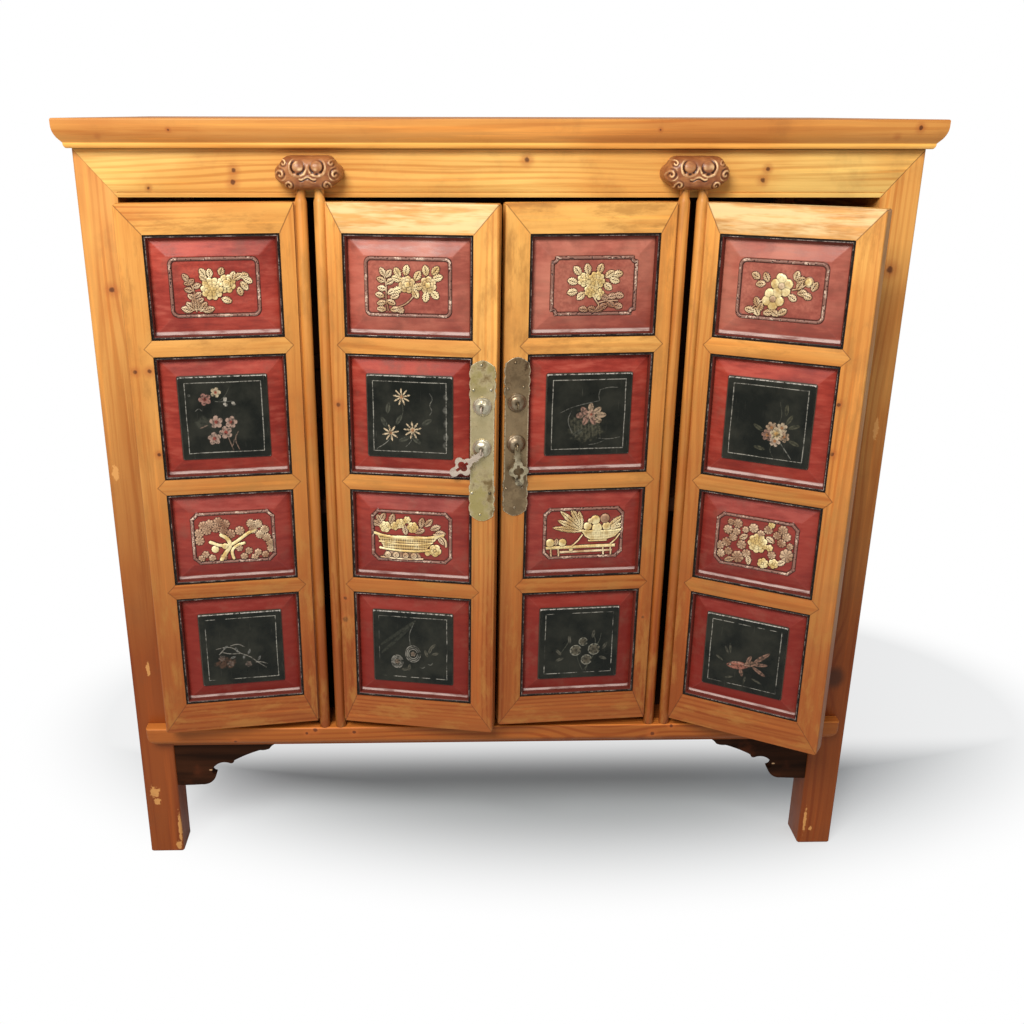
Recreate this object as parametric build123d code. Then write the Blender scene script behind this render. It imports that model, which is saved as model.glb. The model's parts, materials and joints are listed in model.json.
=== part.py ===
from build123d import *

import os
from math import cos, radians, sin

# Chinese wedding cabinet: a square-legged pine carcass under a moulded, framed top, closed by
# four framed leaves hung in two pairs. Each leaf turns on a round pole worked on its hinge
# stile. The pole's head runs in a carved ruyi socket on the header rail and its foot in a hole
# in the sill's ledge, so a leaf that stands open can be lifted out.
#
# Millimetres. X runs to the right, Y to the back, Z up. While the pieces are made, Y = 0 is the
# front face of the posts and X = 0 the middle of the cabinet. At the end everything is moved
# along Y so that the origin lies under the middle of the whole footprint, on the floor.

# ---- carcass ----
top_side_overhang = 16.5      # beyond the posts on each side
top_thickness = 36.0
top_front_overhang = 25.0     # in front of the posts
top_back_overhang = 5.0
top_member_width = 80.0       # each mitred member of the top's frame
top_panel_thickness = 12.0
top_panel_tongue = 10.0       # how far the floating panel enters its frame
body_width = 1112.0           # over the posts
body_depth = 540.0            # front face of the front posts to back face of the back posts
post_size = 53.0
post_outer_round = 3.0        # worn round on each post's outer edge
post_inner_round = 4.0
foot_chamfer = 2.5            # round the bottom of each leg, less than the edge rounds
leg_height = 197.0            # floor to the underside of the sill
sill_height = 40.0
header_height = 60.5
header_bead = 5.5             # bead run along the header's lower edge
rail_thickness = 28.0         # header, back rails and shelf rails
sill_thickness = 46.0
mitre_layer = 16.0            # front layer of the header and posts that meets on a mitre
tenon_length = 20.0
tenon_thickness = 12.0
tenon_setback = 18.0          # rail's front face to its tenon
tenon_shoulder = 10.0         # rail's edge to its tenon's edge

# ---- ledge along the front of the sill ----
ledge_projection = 22.0
ledge_height = 30.0
ledge_top_round = 3.0
ledge_bottom_round = 12.0
ledge_end_setback = 17.5      # ledge's end to the post's outer face
ledge_end_round = 6.0
ledge_end_height = 14.0       # what is left of the ledge's height at its ends
ledge_end_taper = 32.0        # length over which the underside rises to the ends

# ---- sides, back, floor and shelf ----
side_reveal = 4.0             # post's outer face to the side rails
side_rail_thickness = 30.0
side_mid_rail_height = 40.0
side_panel_thickness = 12.0
side_panel_setback = 6.0      # rail's outer face to the panel
board_tongue = 8.0            # how far a board enters its groove
back_mid_rail_height = 24.0
back_mid_rail_level = 685.0   # its lower edge above the floor
back_board_thickness = 10.0
back_board_setback = 8.0      # back face of the rails to the boards
back_planks_per_row = 5
floor_thickness = 14.0
floor_drop = 4.0              # floor board's top below the ledge's top
shelf_level = 592.0           # shelf's top above the floor
shelf_rail_height = 20.0
shelf_board_thickness = 12.0
shelf_rebate = 10.0
shelf_front_setback = 19.0    # front of the posts to the shelf's front rail
shelf_bearer_width = 20.0
shelf_bearer_height = 18.0

# ---- brackets under the sill ----
spandrel_length = 161.0
spandrel_drop = 74.5
spandrel_thickness = 16.0
spandrel_setback = 3.0
spandrel_tongue = 6.0
spandrel_tongue_thickness = 8.0

# ---- carved sockets on the header ----
socket_width = 89.0
socket_height = 41.5
socket_depth = 38.0
socket_rise = 10.5            # header's lower edge to the socket's underside
socket_eye_radius = 8.5
socket_eye_offset = 12.0
socket_eye_level = 28.5       # above the socket's underside
socket_groove = 1.5           # width and depth of the groove round each eye
socket_tenon_width = 40.0
socket_tenon_depth = 14.0
pole_engagement = 12.0        # pole's head inside its socket
lift_room = 10.0              # free height above the head, more than the foot pin's length

# ---- leaves ----
leaf_height = 758.5
leaf_thickness = 25.0
leaf_front = 9.0              # pole's axis to the leaf's front face
head_gap = 4.5                # leaf's top to the header
foot_gap = 14.5               # ledge's top to the leaf's lower edge
centre_gap = 2.0
side_gap = 2.0
pole_radius = 8.0
pole_head_radius = 6.5
pole_head_taper = 5.0         # height over which the pole thins above the leaf
pole_spacing = 24.5           # between the two poles of a pair
pole_setout = 13.5            # pole's axis in front of the posts
pole_groove = 10.5            # pole's axis to the flat of its stile
pole_neck = 2.5               # depth of the groove's bottom in front of the axis
foot_pin_radius = 5.0
foot_pin_length = 8.0
running_clearance = 0.07      # radial, pole in socket and pin in ledge
rest_gap = 0.3                # under a pole's shoulder and a pin's end
hinge_stile_edge = 29.8       # pole's axis to the stile's inner edge
free_stile_width = 33.0
leaf_corner_round = 4.0
leaf_edge_round = 3.0
top_rail_height = 38.0
bottom_rail_height = 45.0
mid_rail_height = 21.5
carved_opening_height = 135.0
leaf_mitre_layer = 7.0
leaf_tenon_length = 14.0
leaf_tenon_front = 0.5        # pole's axis plane to the tenon's front
leaf_tenon_thickness = 7.5
leaf_tenon_shoulder = 6.75
bead_width = 5.5
bead_setback = 1.0            # leaf's face to the bead's face
bead_round = 3.5
panel_tongue = 6.0
panel_tongue_front = 3.0      # from the pole's axis plane
panel_tongue_thickness = 5.0
panel_back = 11.0
panel_rim = 1.5               # level of the panel's rim, from the pole's axis plane
field_margin = 28.0           # opening's edge to the raised field
field_setback = 3.5           # leaf's face to the raised field
cartouche_margin = 1.0        # field's edge to the moulded frame on it
cartouche_width = 4.0
cartouche_height = 2.5
cartouche_corner = 9.0        # cut off each corner of that frame
tablet_height = 2.0

# ---- how far each leaf stands ajar ----
ajar_outer_left = 9.0
ajar_inner_left = 11.0
ajar_inner_right = 5.0
ajar_outer_right = 31.8

# ---- brass on the two inner leaves ----
plate_width = 37.0
plate_length = 226.0
plate_thickness = 1.5
plate_end_rise = 12.0         # height of the plate's pointed ends
plate_scallop_pitch = 14.0
plate_scallop_depth = 1.2
plate_scallops = 3            # on each edge, from each end
plate_edge_gap = 0.8          # plate's edge to the leaf's free edge
plate_rise = 65.25            # second cross rail's middle line to the plate's centre
boss_radius = 13.5
boss_height = 8.0
boss_steps = ((1.0, 0.12), (0.72, 0.72), (0.2, 1.0))   # shares of its radius and its height
upper_boss_offset = 50.5      # above the plate's centre
lower_boss_offset = -7.5
staple_wire_radius = 1.3
staple_reach = 12.7           # plate's face to the middle of the staple's end
staple_drop = 6.0             # upper run, at the boss's middle, to the run that a pull hangs on
staple_leg_depth = 8.0        # into the stile
pull_thickness = 2.4
pull_clear = 0.3              # behind the pull, over the boss
pull_eye_radius = 3.6
pull_eye_clearance = 0.08
pull_neck_width = 7.5
pull_length = 31.0            # eye to the line of the ring's two side lobes
pull_side_lobe_radius = 6.0
pull_side_lobe_offset = 8.0
pull_end_lobe_radius = 6.3
pull_end_lobe_offset = 14.7   # below the line of the side lobes
pull_shoulder_radius = 6.5
pull_shoulder_offset = 8.5    # above that line
pull_hole_radius = 5.0
pull_collar_width = 11.0
pull_collar_height = 1.8
pull_collar_pitch = 3.2
pull_left_swing = 54.0        # from hanging, towards the hinge side
pull_right_swing = 5.0

# ---- levels and lines worked out from the sizes above ----
half_body = body_width / 2
half_top = half_body + top_side_overhang
half_opening = half_body - post_size
sill_top = leg_height + sill_height
leaf_bottom = sill_top + foot_gap
leaf_top = leaf_bottom + leaf_height
header_bottom = leaf_top + head_gap
carcass_top = header_bottom + header_height
overall_height = carcass_top + top_thickness
back_post_front = body_depth - post_size
back_rail_front = body_depth - rail_thickness
board_back = body_depth - back_board_setback
board_front = board_back - back_board_thickness
side_rail_outer = half_body - side_reveal
side_rail_inner = side_rail_outer - side_rail_thickness
shelf_bottom = shelf_level - shelf_board_thickness
side_mid_rail_bottom = shelf_bottom - side_mid_rail_height / 2
back_mid_rail_top = back_mid_rail_level + back_mid_rail_height
socket_bottom = header_bottom + socket_rise
leaf_width = (half_opening - centre_gap / 2 - side_gap - pole_spacing) / 2
inner_pole_x = centre_gap / 2 + leaf_width
outer_pole_x = inner_pole_x + pole_spacing
socket_x = (inner_pole_x + outer_pole_x) / 2
leaf_back = leaf_thickness - leaf_front
opening_left = hinge_stile_edge
opening_right = leaf_width - free_stile_width
painted_opening_height = (leaf_height - top_rail_height - bottom_rail_height
                          - 3 * mid_rail_height - 2 * carved_opening_height) / 2
field_front = field_setback - leaf_front
plate_face = -leaf_front - plate_thickness
plate_x = leaf_width - plate_edge_gap - plate_width / 2
second_rail_middle = (leaf_top - top_rail_height - carved_opening_height
                      - painted_opening_height - 1.5 * mid_rail_height)
plate_z = second_rail_middle + plate_rise
pull_axis_z = plate_z + lower_boss_offset - staple_drop
pull_back = plate_face - boss_height - pull_clear


# ---- helpers ----
def block(x0, x1, y0, y1, z0, z1):
    """Rectangular block between two corners."""
    return Pos((x0 + x1) / 2, (y0 + y1) / 2, (z0 + z1) / 2) * Box(x1 - x0, y1 - y0, z1 - z0)


def post_rod(x, y, z0, z1, radius):
    """Upright round rod."""
    return Pos(x, y, (z0 + z1) / 2) * Cylinder(radius, z1 - z0)


def front_view(*points):
    """Flat face with corners given as (x, z), standing in the plane Y = 0."""
    return make_face(Polyline(*[(x, 0, z) for x, z in points], close=True))


def curved_view(*pieces):
    """Flat face in the plane Y = 0 bounded by straight lines and three-point arcs.

    Each piece is a list of two or three (x, z) points: a line's ends, or an arc's start, middle
    and end.
    """
    edges = []
    for piece in pieces:
        ends = [(x, 0, z) for x, z in piece]
        edges.append(Line(*ends) if len(ends) == 2 else ThreePointArc(*ends))
    return make_face(edges)


def through(face, y0, y1):
    """Carry a face of the front view straight back from y0 to y1."""
    return Pos(0, y0, 0) * extrude(face, amount=y1 - y0, dir=(0, 1, 0))


def prism(corners, *along):
    """Straight prism: the corners of its flat end, and the vector that the end is carried along."""
    return extrude(make_face(Polyline(*corners, close=True)), amount=Vector(*along).length, dir=along)


def corner_arc(x, z, inward_x, inward_z, radius):
    """Three points of the quarter round that takes off a corner, from its level to its upright side."""
    bulge = radius * (1 - cos(radians(45)))
    return [(x + inward_x * radius, z), (x + inward_x * bulge, z + inward_z * bulge),
            (x, z + inward_z * radius)]


def mirrored(pieces):
    """The same run of lines and arcs on the other side of X = 0, so that the two runs close."""
    return [[(-x, z) for x, z in reversed(piece)] for piece in reversed(pieces)]


def closed(half):
    """Outline from its right half: the half, a line across, its mirror image and a line back."""
    other = mirrored(half)
    return half + [[half[-1][-1], other[0][0]]] + other + [[other[-1][-1], half[0][0]]]


def left_right(shape):
    """A piece and its mirror image on the other side of the cabinet."""
    return shape, mirror(shape, about=Plane.YZ)


def rounding(x, y, inward_x, inward_y, radius, z0, z1):
    """Upright sliver that rounds off a corner at (x, y), with the wood lying inwards of it."""
    x1 = x + inward_x * radius
    y1 = y + inward_y * radius
    corner = block(min(x, x1), max(x, x1), min(y, y1), max(y, y1), z0, z1)
    return corner - post_rod(x1, y1, z0, z1, radius)


def group(shapes):
    """Several separate solids of one node."""
    solids = [solid for shape in shapes for solid in shape.solids()]
    return Compound(children=solids)


# ---- top: four mitred, moulded members round a floating panel on two battens ----
def moulding_edge(sign, outer):
    """Half outline of the top's moulded edge, from its upper arris to its underside.

    The edge drops straight, turns in with a long round, slopes in further and ends in a narrow
    bead. Sign is the direction out of the top, outer its outermost line.
    """
    top_z = overall_height

    def p(inset, drop):
        return (outer - sign * inset, top_z - drop)

    return [[p(2, 0), p(0.6, 0.6), p(0, 2)], [p(0, 2), p(0, 9)],
            [p(0, 9), p(1.4, 16.5), p(5, 23.5)], [p(5, 23.5), p(10.2, 29.5)],
            [p(10.2, 29.5), p(10.6, 33), p(13, top_thickness)]]


def moulded_slab():
    """The whole top as one slab: its front outline drawn across meets its side outline."""
    y_front = -top_front_overhang
    y_back = body_depth + top_back_overhang
    run_back = through(curved_view(*closed(moulding_edge(1, half_top))), y_front, y_back)

    front = moulding_edge(-1, y_front)
    side = front + [[front[-1][-1], (y_back, carcass_top)],
                    [(y_back, carcass_top), (y_back, overall_height)],
                    [(y_back, overall_height), front[0][0]]]
    run_across = Rot(0, 0, 90) * through(curved_view(*side), -half_top, half_top)
    return run_back & run_across


def plan_prism(*corners):
    """Upright prism over the top's height, corners given as (x, y)."""
    return prism([(x, y, carcass_top) for x, y in corners], 0, 0, top_thickness)


def make_top():
    x0 = half_top
    x1 = half_top - top_member_width
    y0 = -top_front_overhang
    y1 = y0 + top_member_width
    y3 = body_depth + top_back_overhang
    y2 = y3 - top_member_width
    panel_bottom = overall_height - top_panel_thickness
    panel = block(-x1, x1, y1, y2, panel_bottom, overall_height)
    panel += block(-x1 - top_panel_tongue, x1 + top_panel_tongue, y1 - top_panel_tongue,
                   y2 + top_panel_tongue, panel_bottom, panel_bottom + top_panel_thickness / 2)

    batten_height = 22.0
    batten_width = 36.0
    batten_x = x1 / 3
    battens = [block(x - batten_width / 2, x + batten_width / 2, y1 - tenon_thickness,
                     y2 + tenon_thickness, panel_bottom - batten_height, panel_bottom)
               for x in (-batten_x, batten_x)]

    slab = moulded_slab() - block(-x1, x1, y1, y2, carcass_top, overall_height)
    slab = slab - panel
    for batten in battens:
        slab -= batten
    front = slab & plan_prism((-x0, y0), (x0, y0), (x1, y1), (-x1, y1))
    back = slab & plan_prism((-x0, y3), (x0, y3), (x1, y2), (-x1, y2))
    right = slab & plan_prism((x0, y0), (x0, y3), (x1, y2), (x1, y1))

    tenon_x = x0 - top_member_width / 2
    key_z = (carcass_top + 7, carcass_top + 17)
    for start, end in ((y0 + 16, y0 + top_member_width / 2), (y3 - top_member_width / 2, y3 - 16)):
        right += block(tenon_x - tenon_thickness, tenon_x + tenon_thickness, start, end, *key_z)
    left = mirror(right, about=Plane.YZ)
    front = front - right - left
    back = back - right - left
    return {"top_frame_front": front, "top_frame_back": back, "top_frame_right": right,
            "top_frame_left": left, "top_panel": panel, "top_battens": group(battens)}


# ---- carcass rails ----
def end_tenons(y0, z0, z1, length=tenon_length):
    """Tenons on both ends of a rail that runs between the posts."""
    one = block(half_opening, half_opening + length, y0, y0 + tenon_thickness,
                z0 + tenon_shoulder, z1 - tenon_shoulder)
    return one + mirror(one, about=Plane.YZ)


def make_header():
    """Rail over the leaves, its front layer mitred into the posts, with a bead below."""
    rail = through(front_view((-half_body, carcass_top), (half_body, carcass_top),
                              (half_opening, header_bottom), (-half_opening, header_bottom)),
                   0, mitre_layer)
    rail += block(-half_opening, half_opening, mitre_layer, rail_thickness + tenon_setback,
                  header_bottom, carcass_top)
    rail += end_tenons(tenon_setback, header_bottom, carcass_top)
    quirk = 1.4
    rail -= block(-half_body, half_body, -1, quirk, header_bottom + header_bead,
                  header_bottom + header_bead + quirk)
    return rail


def make_ledge():
    """Ledge whose underside rises to its ends: its front view and its profile combined."""
    end = half_body - ledge_end_setback
    low = sill_top - ledge_height
    tip = sill_top - ledge_end_height
    bend = end - ledge_end_taper
    half = [[(end, sill_top), (end, tip)],
            [(end, tip), (end - 0.35 * ledge_end_taper, low + 0.2 * (tip - low)), (bend, low)]]
    ledge = through(curved_view(*closed(half)), -ledge_projection, 0)

    front = -ledge_projection
    above = corner_arc(front, sill_top, 1, -1, ledge_top_round)
    below = corner_arc(front, low, 1, 1, ledge_bottom_round)
    profile = [above, [above[-1], below[-1]], below[::-1], [below[0], (0, low)],
               [(0, low), (0, sill_top)], [(0, sill_top), above[0]]]
    ledge &= Rot(0, 0, 90) * through(curved_view(*profile), -end, end)
    for side in (-1, 1):
        ledge -= rounding(side * end, front, -side, 1, ledge_end_round, low, sill_top)
    return ledge


def make_sill(foot_holes):
    sill = block(-half_opening, half_opening, 0, sill_thickness, leg_height, sill_top)
    sill += end_tenons(tenon_setback, leg_height, sill_top)
    sill += make_ledge()
    for hole in foot_holes:
        sill -= hole
    return sill


def make_back_rails():
    rails = []
    for z0, z1 in ((leg_height, sill_top), (back_mid_rail_level, back_mid_rail_top),
                   (header_bottom, carcass_top)):
        rail = block(-half_opening, half_opening, back_rail_front, body_depth, z0, z1)
        shoulder = min(tenon_shoulder, (z1 - z0) / 3)
        tenon = block(half_opening, half_opening + tenon_length, back_rail_front + 8,
                      back_rail_front + 8 + tenon_thickness, z0 + shoulder, z1 - shoulder)
        rails.append(rail + tenon + mirror(tenon, about=Plane.YZ))
    return rails


def make_back_boards():
    """Two rows of upright planks, tongued into the rails and posts."""
    planks = []
    half = half_opening + board_tongue
    width = 2 * half / back_planks_per_row
    for z0, z1 in ((sill_top, back_mid_rail_level), (back_mid_rail_top, header_bottom)):
        for i in range(back_planks_per_row):
            x0 = -half + i * width
            planks.append(block(x0, x0 + width, board_front, board_back,
                                z0 - board_tongue, z1 + board_tongue))
    return planks


def side_levels():
    """Lower and upper edges of the three rails of a side."""
    return ((leg_height, sill_top), (side_mid_rail_bottom, side_mid_rail_bottom + side_mid_rail_height),
            (header_bottom, carcass_top))


def make_side_rails():
    """Rails of the left side, each with a tenon at both ends."""
    rails = []
    x0 = -side_rail_outer
    x1 = -side_rail_inner
    tenon_x0 = x0 + (side_rail_thickness - tenon_thickness) / 2
    for z0, z1 in side_levels():
        rail = block(x0, x1, post_size, back_post_front, z0, z1)
        rail += block(tenon_x0, tenon_x0 + tenon_thickness, post_size - tenon_length,
                      back_post_front + tenon_length, z0 + tenon_shoulder, z1 - tenon_shoulder)
        rails.append(rail)
    return rails


def make_side_panels():
    levels = side_levels()
    x0 = -side_rail_outer + side_panel_setback
    return [block(x0, x0 + side_panel_thickness, post_size - board_tongue,
                  back_post_front + board_tongue, low[1] - board_tongue, high[0] + board_tongue)
            for low, high in zip(levels, levels[1:])]


def cross_board(z0, z1, x_side, y_front, y_back):
    """Board that fills the plan between the rails and passes between the posts."""
    return (block(-x_side, x_side, post_size, back_post_front, z0, z1)
            + block(-half_opening, half_opening, y_front, post_size, z0, z1)
            + block(-half_opening, half_opening, back_post_front, y_back, z0, z1))


def make_shelf():
    """Shelf board lying in rebates of a front and a back rail, and on a bearer at each side."""
    front0 = shelf_front_setback
    front1 = front0 + rail_thickness
    back1 = board_front
    back0 = back1 - rail_thickness
    low = shelf_level - shelf_rail_height
    rails = []
    for y0, y1 in ((front0, front1), (back0, back1)):
        rail = block(-half_opening, half_opening, y0, y1, low, shelf_level)
        middle = (y0 + y1) / 2
        tenon = block(half_opening, half_opening + tenon_thickness, middle - tenon_thickness / 2,
                      middle + tenon_thickness / 2, low + 4, shelf_level - 4)
        rails.append(rail + tenon + mirror(tenon, about=Plane.YZ))
    board = cross_board(shelf_bottom, shelf_level, side_rail_inner, front1 - shelf_rebate,
                        back0 + shelf_rebate)
    rails = [rail - board for rail in rails]
    bearer = block(-side_rail_inner, -side_rail_inner + shelf_bearer_width, post_size,
                   back_post_front, shelf_bottom - shelf_bearer_height, shelf_bottom)
    return rails, board, left_right(bearer)


def make_post_blank(y0, y1, outer_y):
    """Left-hand post before its joints: worn round outside, softened on its inner edge."""
    x0 = -half_body
    x1 = -half_opening
    post = block(x0, x1, y0, y1, 0, carcass_top)
    inward = 1 if outer_y == y0 else -1
    post -= rounding(x0, outer_y, 1, inward, post_outer_round, 0, carcass_top)
    post -= rounding(x1, outer_y, -1, inward, post_inner_round, 0, leg_height)
    foot = post.edges().filter_by(GeomType.LINE).group_by(Axis.Z)[0]
    return chamfer(foot, foot_chamfer)


# ---- brackets ----
def make_spandrel():
    """Left bracket under the sill: a cusped outline that ends in a curl beside the post."""
    x0 = -half_opening
    z0 = leg_height
    reach = spandrel_length
    drop = spandrel_drop

    def p(along, down):
        return (x0 + along * reach, z0 - down * drop)

    face = curved_view(
        [p(0, 0), p(1, 0)],
        [p(1, 0), p(0.955, 0.055), p(0.925, 0.13)],
        [p(0.925, 0.13), p(0.885, 0.16), p(0.83, 0.165)],
        [p(0.83, 0.165), p(0.70, 0.27), p(0.57, 0.41)],
        [p(0.57, 0.41), p(0.555, 0.47), p(0.53, 0.475)],
        [p(0.53, 0.475), p(0.40, 0.50), p(0.345, 0.66)],
        [p(0.345, 0.66), p(0.355, 0.72), p(0.385, 0.75)],
        [p(0.385, 0.75), p(0.36, 0.87), p(0.24, 0.985)],
        [p(0.24, 0.985), p(0.15, 0.995), p(0.05, 1)],
        [p(0.05, 1), p(0, 1)],
        [p(0, 1), p(0, 0)])
    y0 = spandrel_setback
    bracket = through(face, y0, y0 + spandrel_thickness)
    middle = y0 + spandrel_thickness / 2
    half = spandrel_tongue_thickness / 2
    bracket += block(x0 + 0.12 * reach, x0 + 0.85 * reach, middle - half, middle + half,
                     z0, z0 + spandrel_tongue)
    return bracket


# ---- carved sockets ----
def make_socket():
    """Ruyi-shaped block for the left pair's poles, with two spiral eyes and a rounded front.

    It is what three prisms have in common: its front view, its profile and its plan.
    """
    half = socket_width / 2
    high = socket_height
    front = -socket_depth
    outline = [[(24, high), (32, high - 3), (37, high - 10.5)],
               [(37, high - 10.5), (42.5, high - 14.5), (half, high - 21.5)],
               [(half, high - 21.5), (42, 12), (34, 7)], [(34, 7), (28, 2), (20.5, 0)]]
    blank = through(curved_view(*closed(outline)), front, 0)
    profile = [[(0, high), (front + 7, high)],
               [(front + 7, high), (front + 2, high - 3), (front, high - 9)],
               [(front, high - 9), (front, 17)], [(front, 17), (front + 3, 7), (front + 12, 0)],
               [(front + 12, 0), (0, 0)], [(0, 0), (0, high)]]
    blank &= Rot(0, 0, 90) * through(curved_view(*profile), -half, half)
    plan = [[(half, 0), (half, front + 20)], [(half, front + 20), (39, front + 7), (27, front)]]
    blank &= Rot(-90, 0, 0) * through(curved_view(*closed(plan)), -high, 0)

    for side in (-1, 1):
        eye = Pos(side * socket_eye_offset, front + socket_groove / 2, socket_eye_level) * Rot(90, 0, 0)
        blank -= eye * (Cylinder(socket_eye_radius + socket_groove, socket_groove)
                        - Cylinder(socket_eye_radius, socket_groove))
    blank += block(-socket_tenon_width / 2, socket_tenon_width / 2, 0, socket_tenon_depth, 12, 30)
    for side in (-1, 1):
        blank -= post_rod(side * pole_spacing / 2, -pole_setout, -1, pole_engagement + lift_room,
                          pole_head_radius + running_clearance)
    return Pos(-socket_x, 0, socket_bottom) * blank


def foot_hole(x):
    """Hole in the ledge for a pole's foot pin."""
    return post_rod(x, -pole_setout, sill_top - foot_pin_length - 2 * rest_gap, sill_top + 1,
                    foot_pin_radius + running_clearance)


# ---- one leaf, its pole's axis at X = 0 and Y = 0, reaching towards +X ----
def leaf_rows():
    """Lower and upper edge of each opening and whether it is carved, from the top down."""
    rows = []
    z = leaf_top - top_rail_height
    for carved in (True, False, True, False):
        height = carved_opening_height if carved else painted_opening_height
        rows.append((z - height, z, carved))
        z -= height + mid_rail_height
    return rows


def fielded(z0, z1):
    """The part of a panel in front of its rim: four slopes that meet on mitres round a field.

    It is what two prisms have in common, one planed across the panel and one along it.
    """
    x = (opening_left + bead_width, opening_right - bead_width)
    z = (z0 + bead_width, z1 - bead_width)
    rise = field_margin - bead_width

    def outline(low, high):
        return [(low, panel_rim), (high, panel_rim), (high - rise, field_front), (low + rise, field_front)]

    upright = prism([(u, y, z[0]) for u, y in outline(*x)], 0, 0, z[1] - z[0])
    level = prism([(x[0], y, u) for u, y in outline(*z)], x[1] - x[0], 0, 0)
    return upright & level


def ring(margin, width, z0, z1, y0, y1, corner):
    """Frame-shaped moulding between y0 and y1, set in by a margin, its corners cut off or square."""
    def slab(inset, cut):
        low, high = z0 + inset, z1 - inset
        left, right = opening_left + inset, opening_right - inset
        points = [(left, low + cut), (left, high - cut), (left + cut, high), (right - cut, high),
                  (right, high - cut), (right, low + cut), (right - cut, low), (left + cut, low)]
        return through(front_view(*(points if cut else points[::2])), y0, y1)
    return slab(margin, corner) - slab(margin + width, max(corner - 0.6 * width, 0))


def make_panel(z0, z1, carved):
    """Raised and fielded panel: tongue all round, sloping border, raised field."""
    tongue_back = panel_tongue_front + panel_tongue_thickness
    t = panel_tongue
    panel = block(opening_left - t, opening_right + t, panel_tongue_front, tongue_back, z0 - t, z1 + t)
    panel += block(opening_left, opening_right, panel_rim, panel_back, z0, z1)
    panel += fielded(z0, z1)
    if carved:
        panel += ring(field_margin + cartouche_margin, cartouche_width, z0, z1,
                      field_front - cartouche_height, field_front, cartouche_corner)
    else:
        x0 = opening_left + field_margin
        x1 = opening_right - field_margin
        panel += block(x0, x1, field_front - tablet_height, field_front,
                       z0 + field_margin, z1 - field_margin)
    return panel


def make_bead(z0, z1):
    """Bead that lines an opening in front of its panel, rounded towards the panel."""
    front = bead_setback - leaf_front
    bead = ring(0, bead_width, z0, z1, front, panel_rim, 0)
    inner = [edge for edge in bead.edges().group_by(Axis.Y)[0]
             if opening_left + bead_width / 2 < edge.center().X < opening_right - bead_width / 2
             and z0 + bead_width / 2 < edge.center().Z < z1 - bead_width / 2]
    return fillet(inner, bead_round)


def make_leaf_rails(rows):
    """Top, bottom and middle rails, mitred into the stiles in front and tenoned behind."""
    face = -leaf_front
    layer = face + leaf_mitre_layer
    tenon_back = leaf_tenon_front + leaf_tenon_thickness
    x0 = opening_left
    x1 = opening_right
    edges = [leaf_top] + [z for z0, z1, carved in rows for z in (z1, z0)] + [leaf_bottom]
    rails = []
    for z1, z0 in zip(edges[0::2], edges[1::2]):
        middle = (z0 + z1) / 2
        point = (z1 - z0) / 2
        if z1 == leaf_top:
            front = front_view((pole_groove, z1), (leaf_width, z1), (x1, z0), (x0, z0))
        elif z0 == leaf_bottom:
            front = front_view((pole_groove, z0), (leaf_width, z0), (x1, z1), (x0, z1))
        else:
            front = front_view((x0 - point, middle), (x0, z1), (x1, z1), (x1 + point, middle),
                               (x1, z0), (x0, z0))
        rail = through(front, face, layer) + block(x0, x1, layer, leaf_back, z0, z1)
        rail += block(x0 - leaf_tenon_length, x1 + leaf_tenon_length, leaf_tenon_front, tenon_back,
                      z0 + leaf_tenon_shoulder, z1 - leaf_tenon_shoulder)
        rails.append(rail)
    return rails


def leaf_corner_cuts():
    """Slivers that round off the leaf's two free corners, seen from the front."""
    cuts = []
    for z, inward in ((leaf_bottom, 1), (leaf_top, -1)):
        arc = corner_arc(leaf_width, z, -1, inward, leaf_corner_round)
        face = curved_view(arc, [arc[-1], (leaf_width, z)], [(leaf_width, z), arc[0]])
        cuts.append(through(face, -leaf_front - 1, leaf_back + 1))
    cuts.append(rounding(leaf_width, -leaf_front, -1, 1, leaf_edge_round, leaf_bottom, leaf_top))
    return cuts


def make_pole():
    """Pole as one turned piece: foot pin, shaft, and a thinner head above the leaf."""
    foot = sill_top + rest_gap
    outline = [(0, foot - foot_pin_length), (foot_pin_radius, foot - foot_pin_length),
               (foot_pin_radius, foot), (pole_radius, foot), (pole_radius, leaf_top),
               (pole_head_radius, leaf_top + pole_head_taper),
               (pole_head_radius, socket_bottom + pole_engagement),
               (0, socket_bottom + pole_engagement)]
    return revolve(front_view(*outline), Axis.Z)


def make_hinge_stile():
    """Stile with the round pole worked on its edge and a groove between the two."""
    stile = block(pole_groove, opening_left, -leaf_front, leaf_back, leaf_bottom, leaf_top)
    stile += block(0, pole_groove, -pole_neck, leaf_back, leaf_bottom, leaf_top)
    return stile + make_pole()


def make_free_stile():
    return block(opening_right, leaf_width, -leaf_front, leaf_back, leaf_bottom, leaf_top)


def make_leaf():
    """The wooden pieces of one leaf, as node endings and shapes."""
    rows = leaf_rows()
    panels = [make_panel(z0, z1, carved) for z0, z1, carved in rows]
    beads = [make_bead(z0, z1) for z0, z1, carved in rows]
    rails = make_leaf_rails(rows)
    cuts = leaf_corner_cuts()
    stiles = []
    for stile in (make_hinge_stile(), make_free_stile()):
        for other in rails + panels + cuts:
            stile -= other
        stiles.append(stile)
    fitted = []
    for rail in rails:
        for other in panels + cuts:
            rail -= other
        fitted.append(rail)
    carved = [panel for panel, row in zip(panels, rows) if row[2]]
    painted = [panel for panel, row in zip(panels, rows) if not row[2]]
    return {"hinge_stile": stiles[0], "free_stile": stiles[1], "rails": group(fitted),
            "beads": group(beads), "carved_panels": group(carved),
            "painted_panels": group(painted)}


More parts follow.
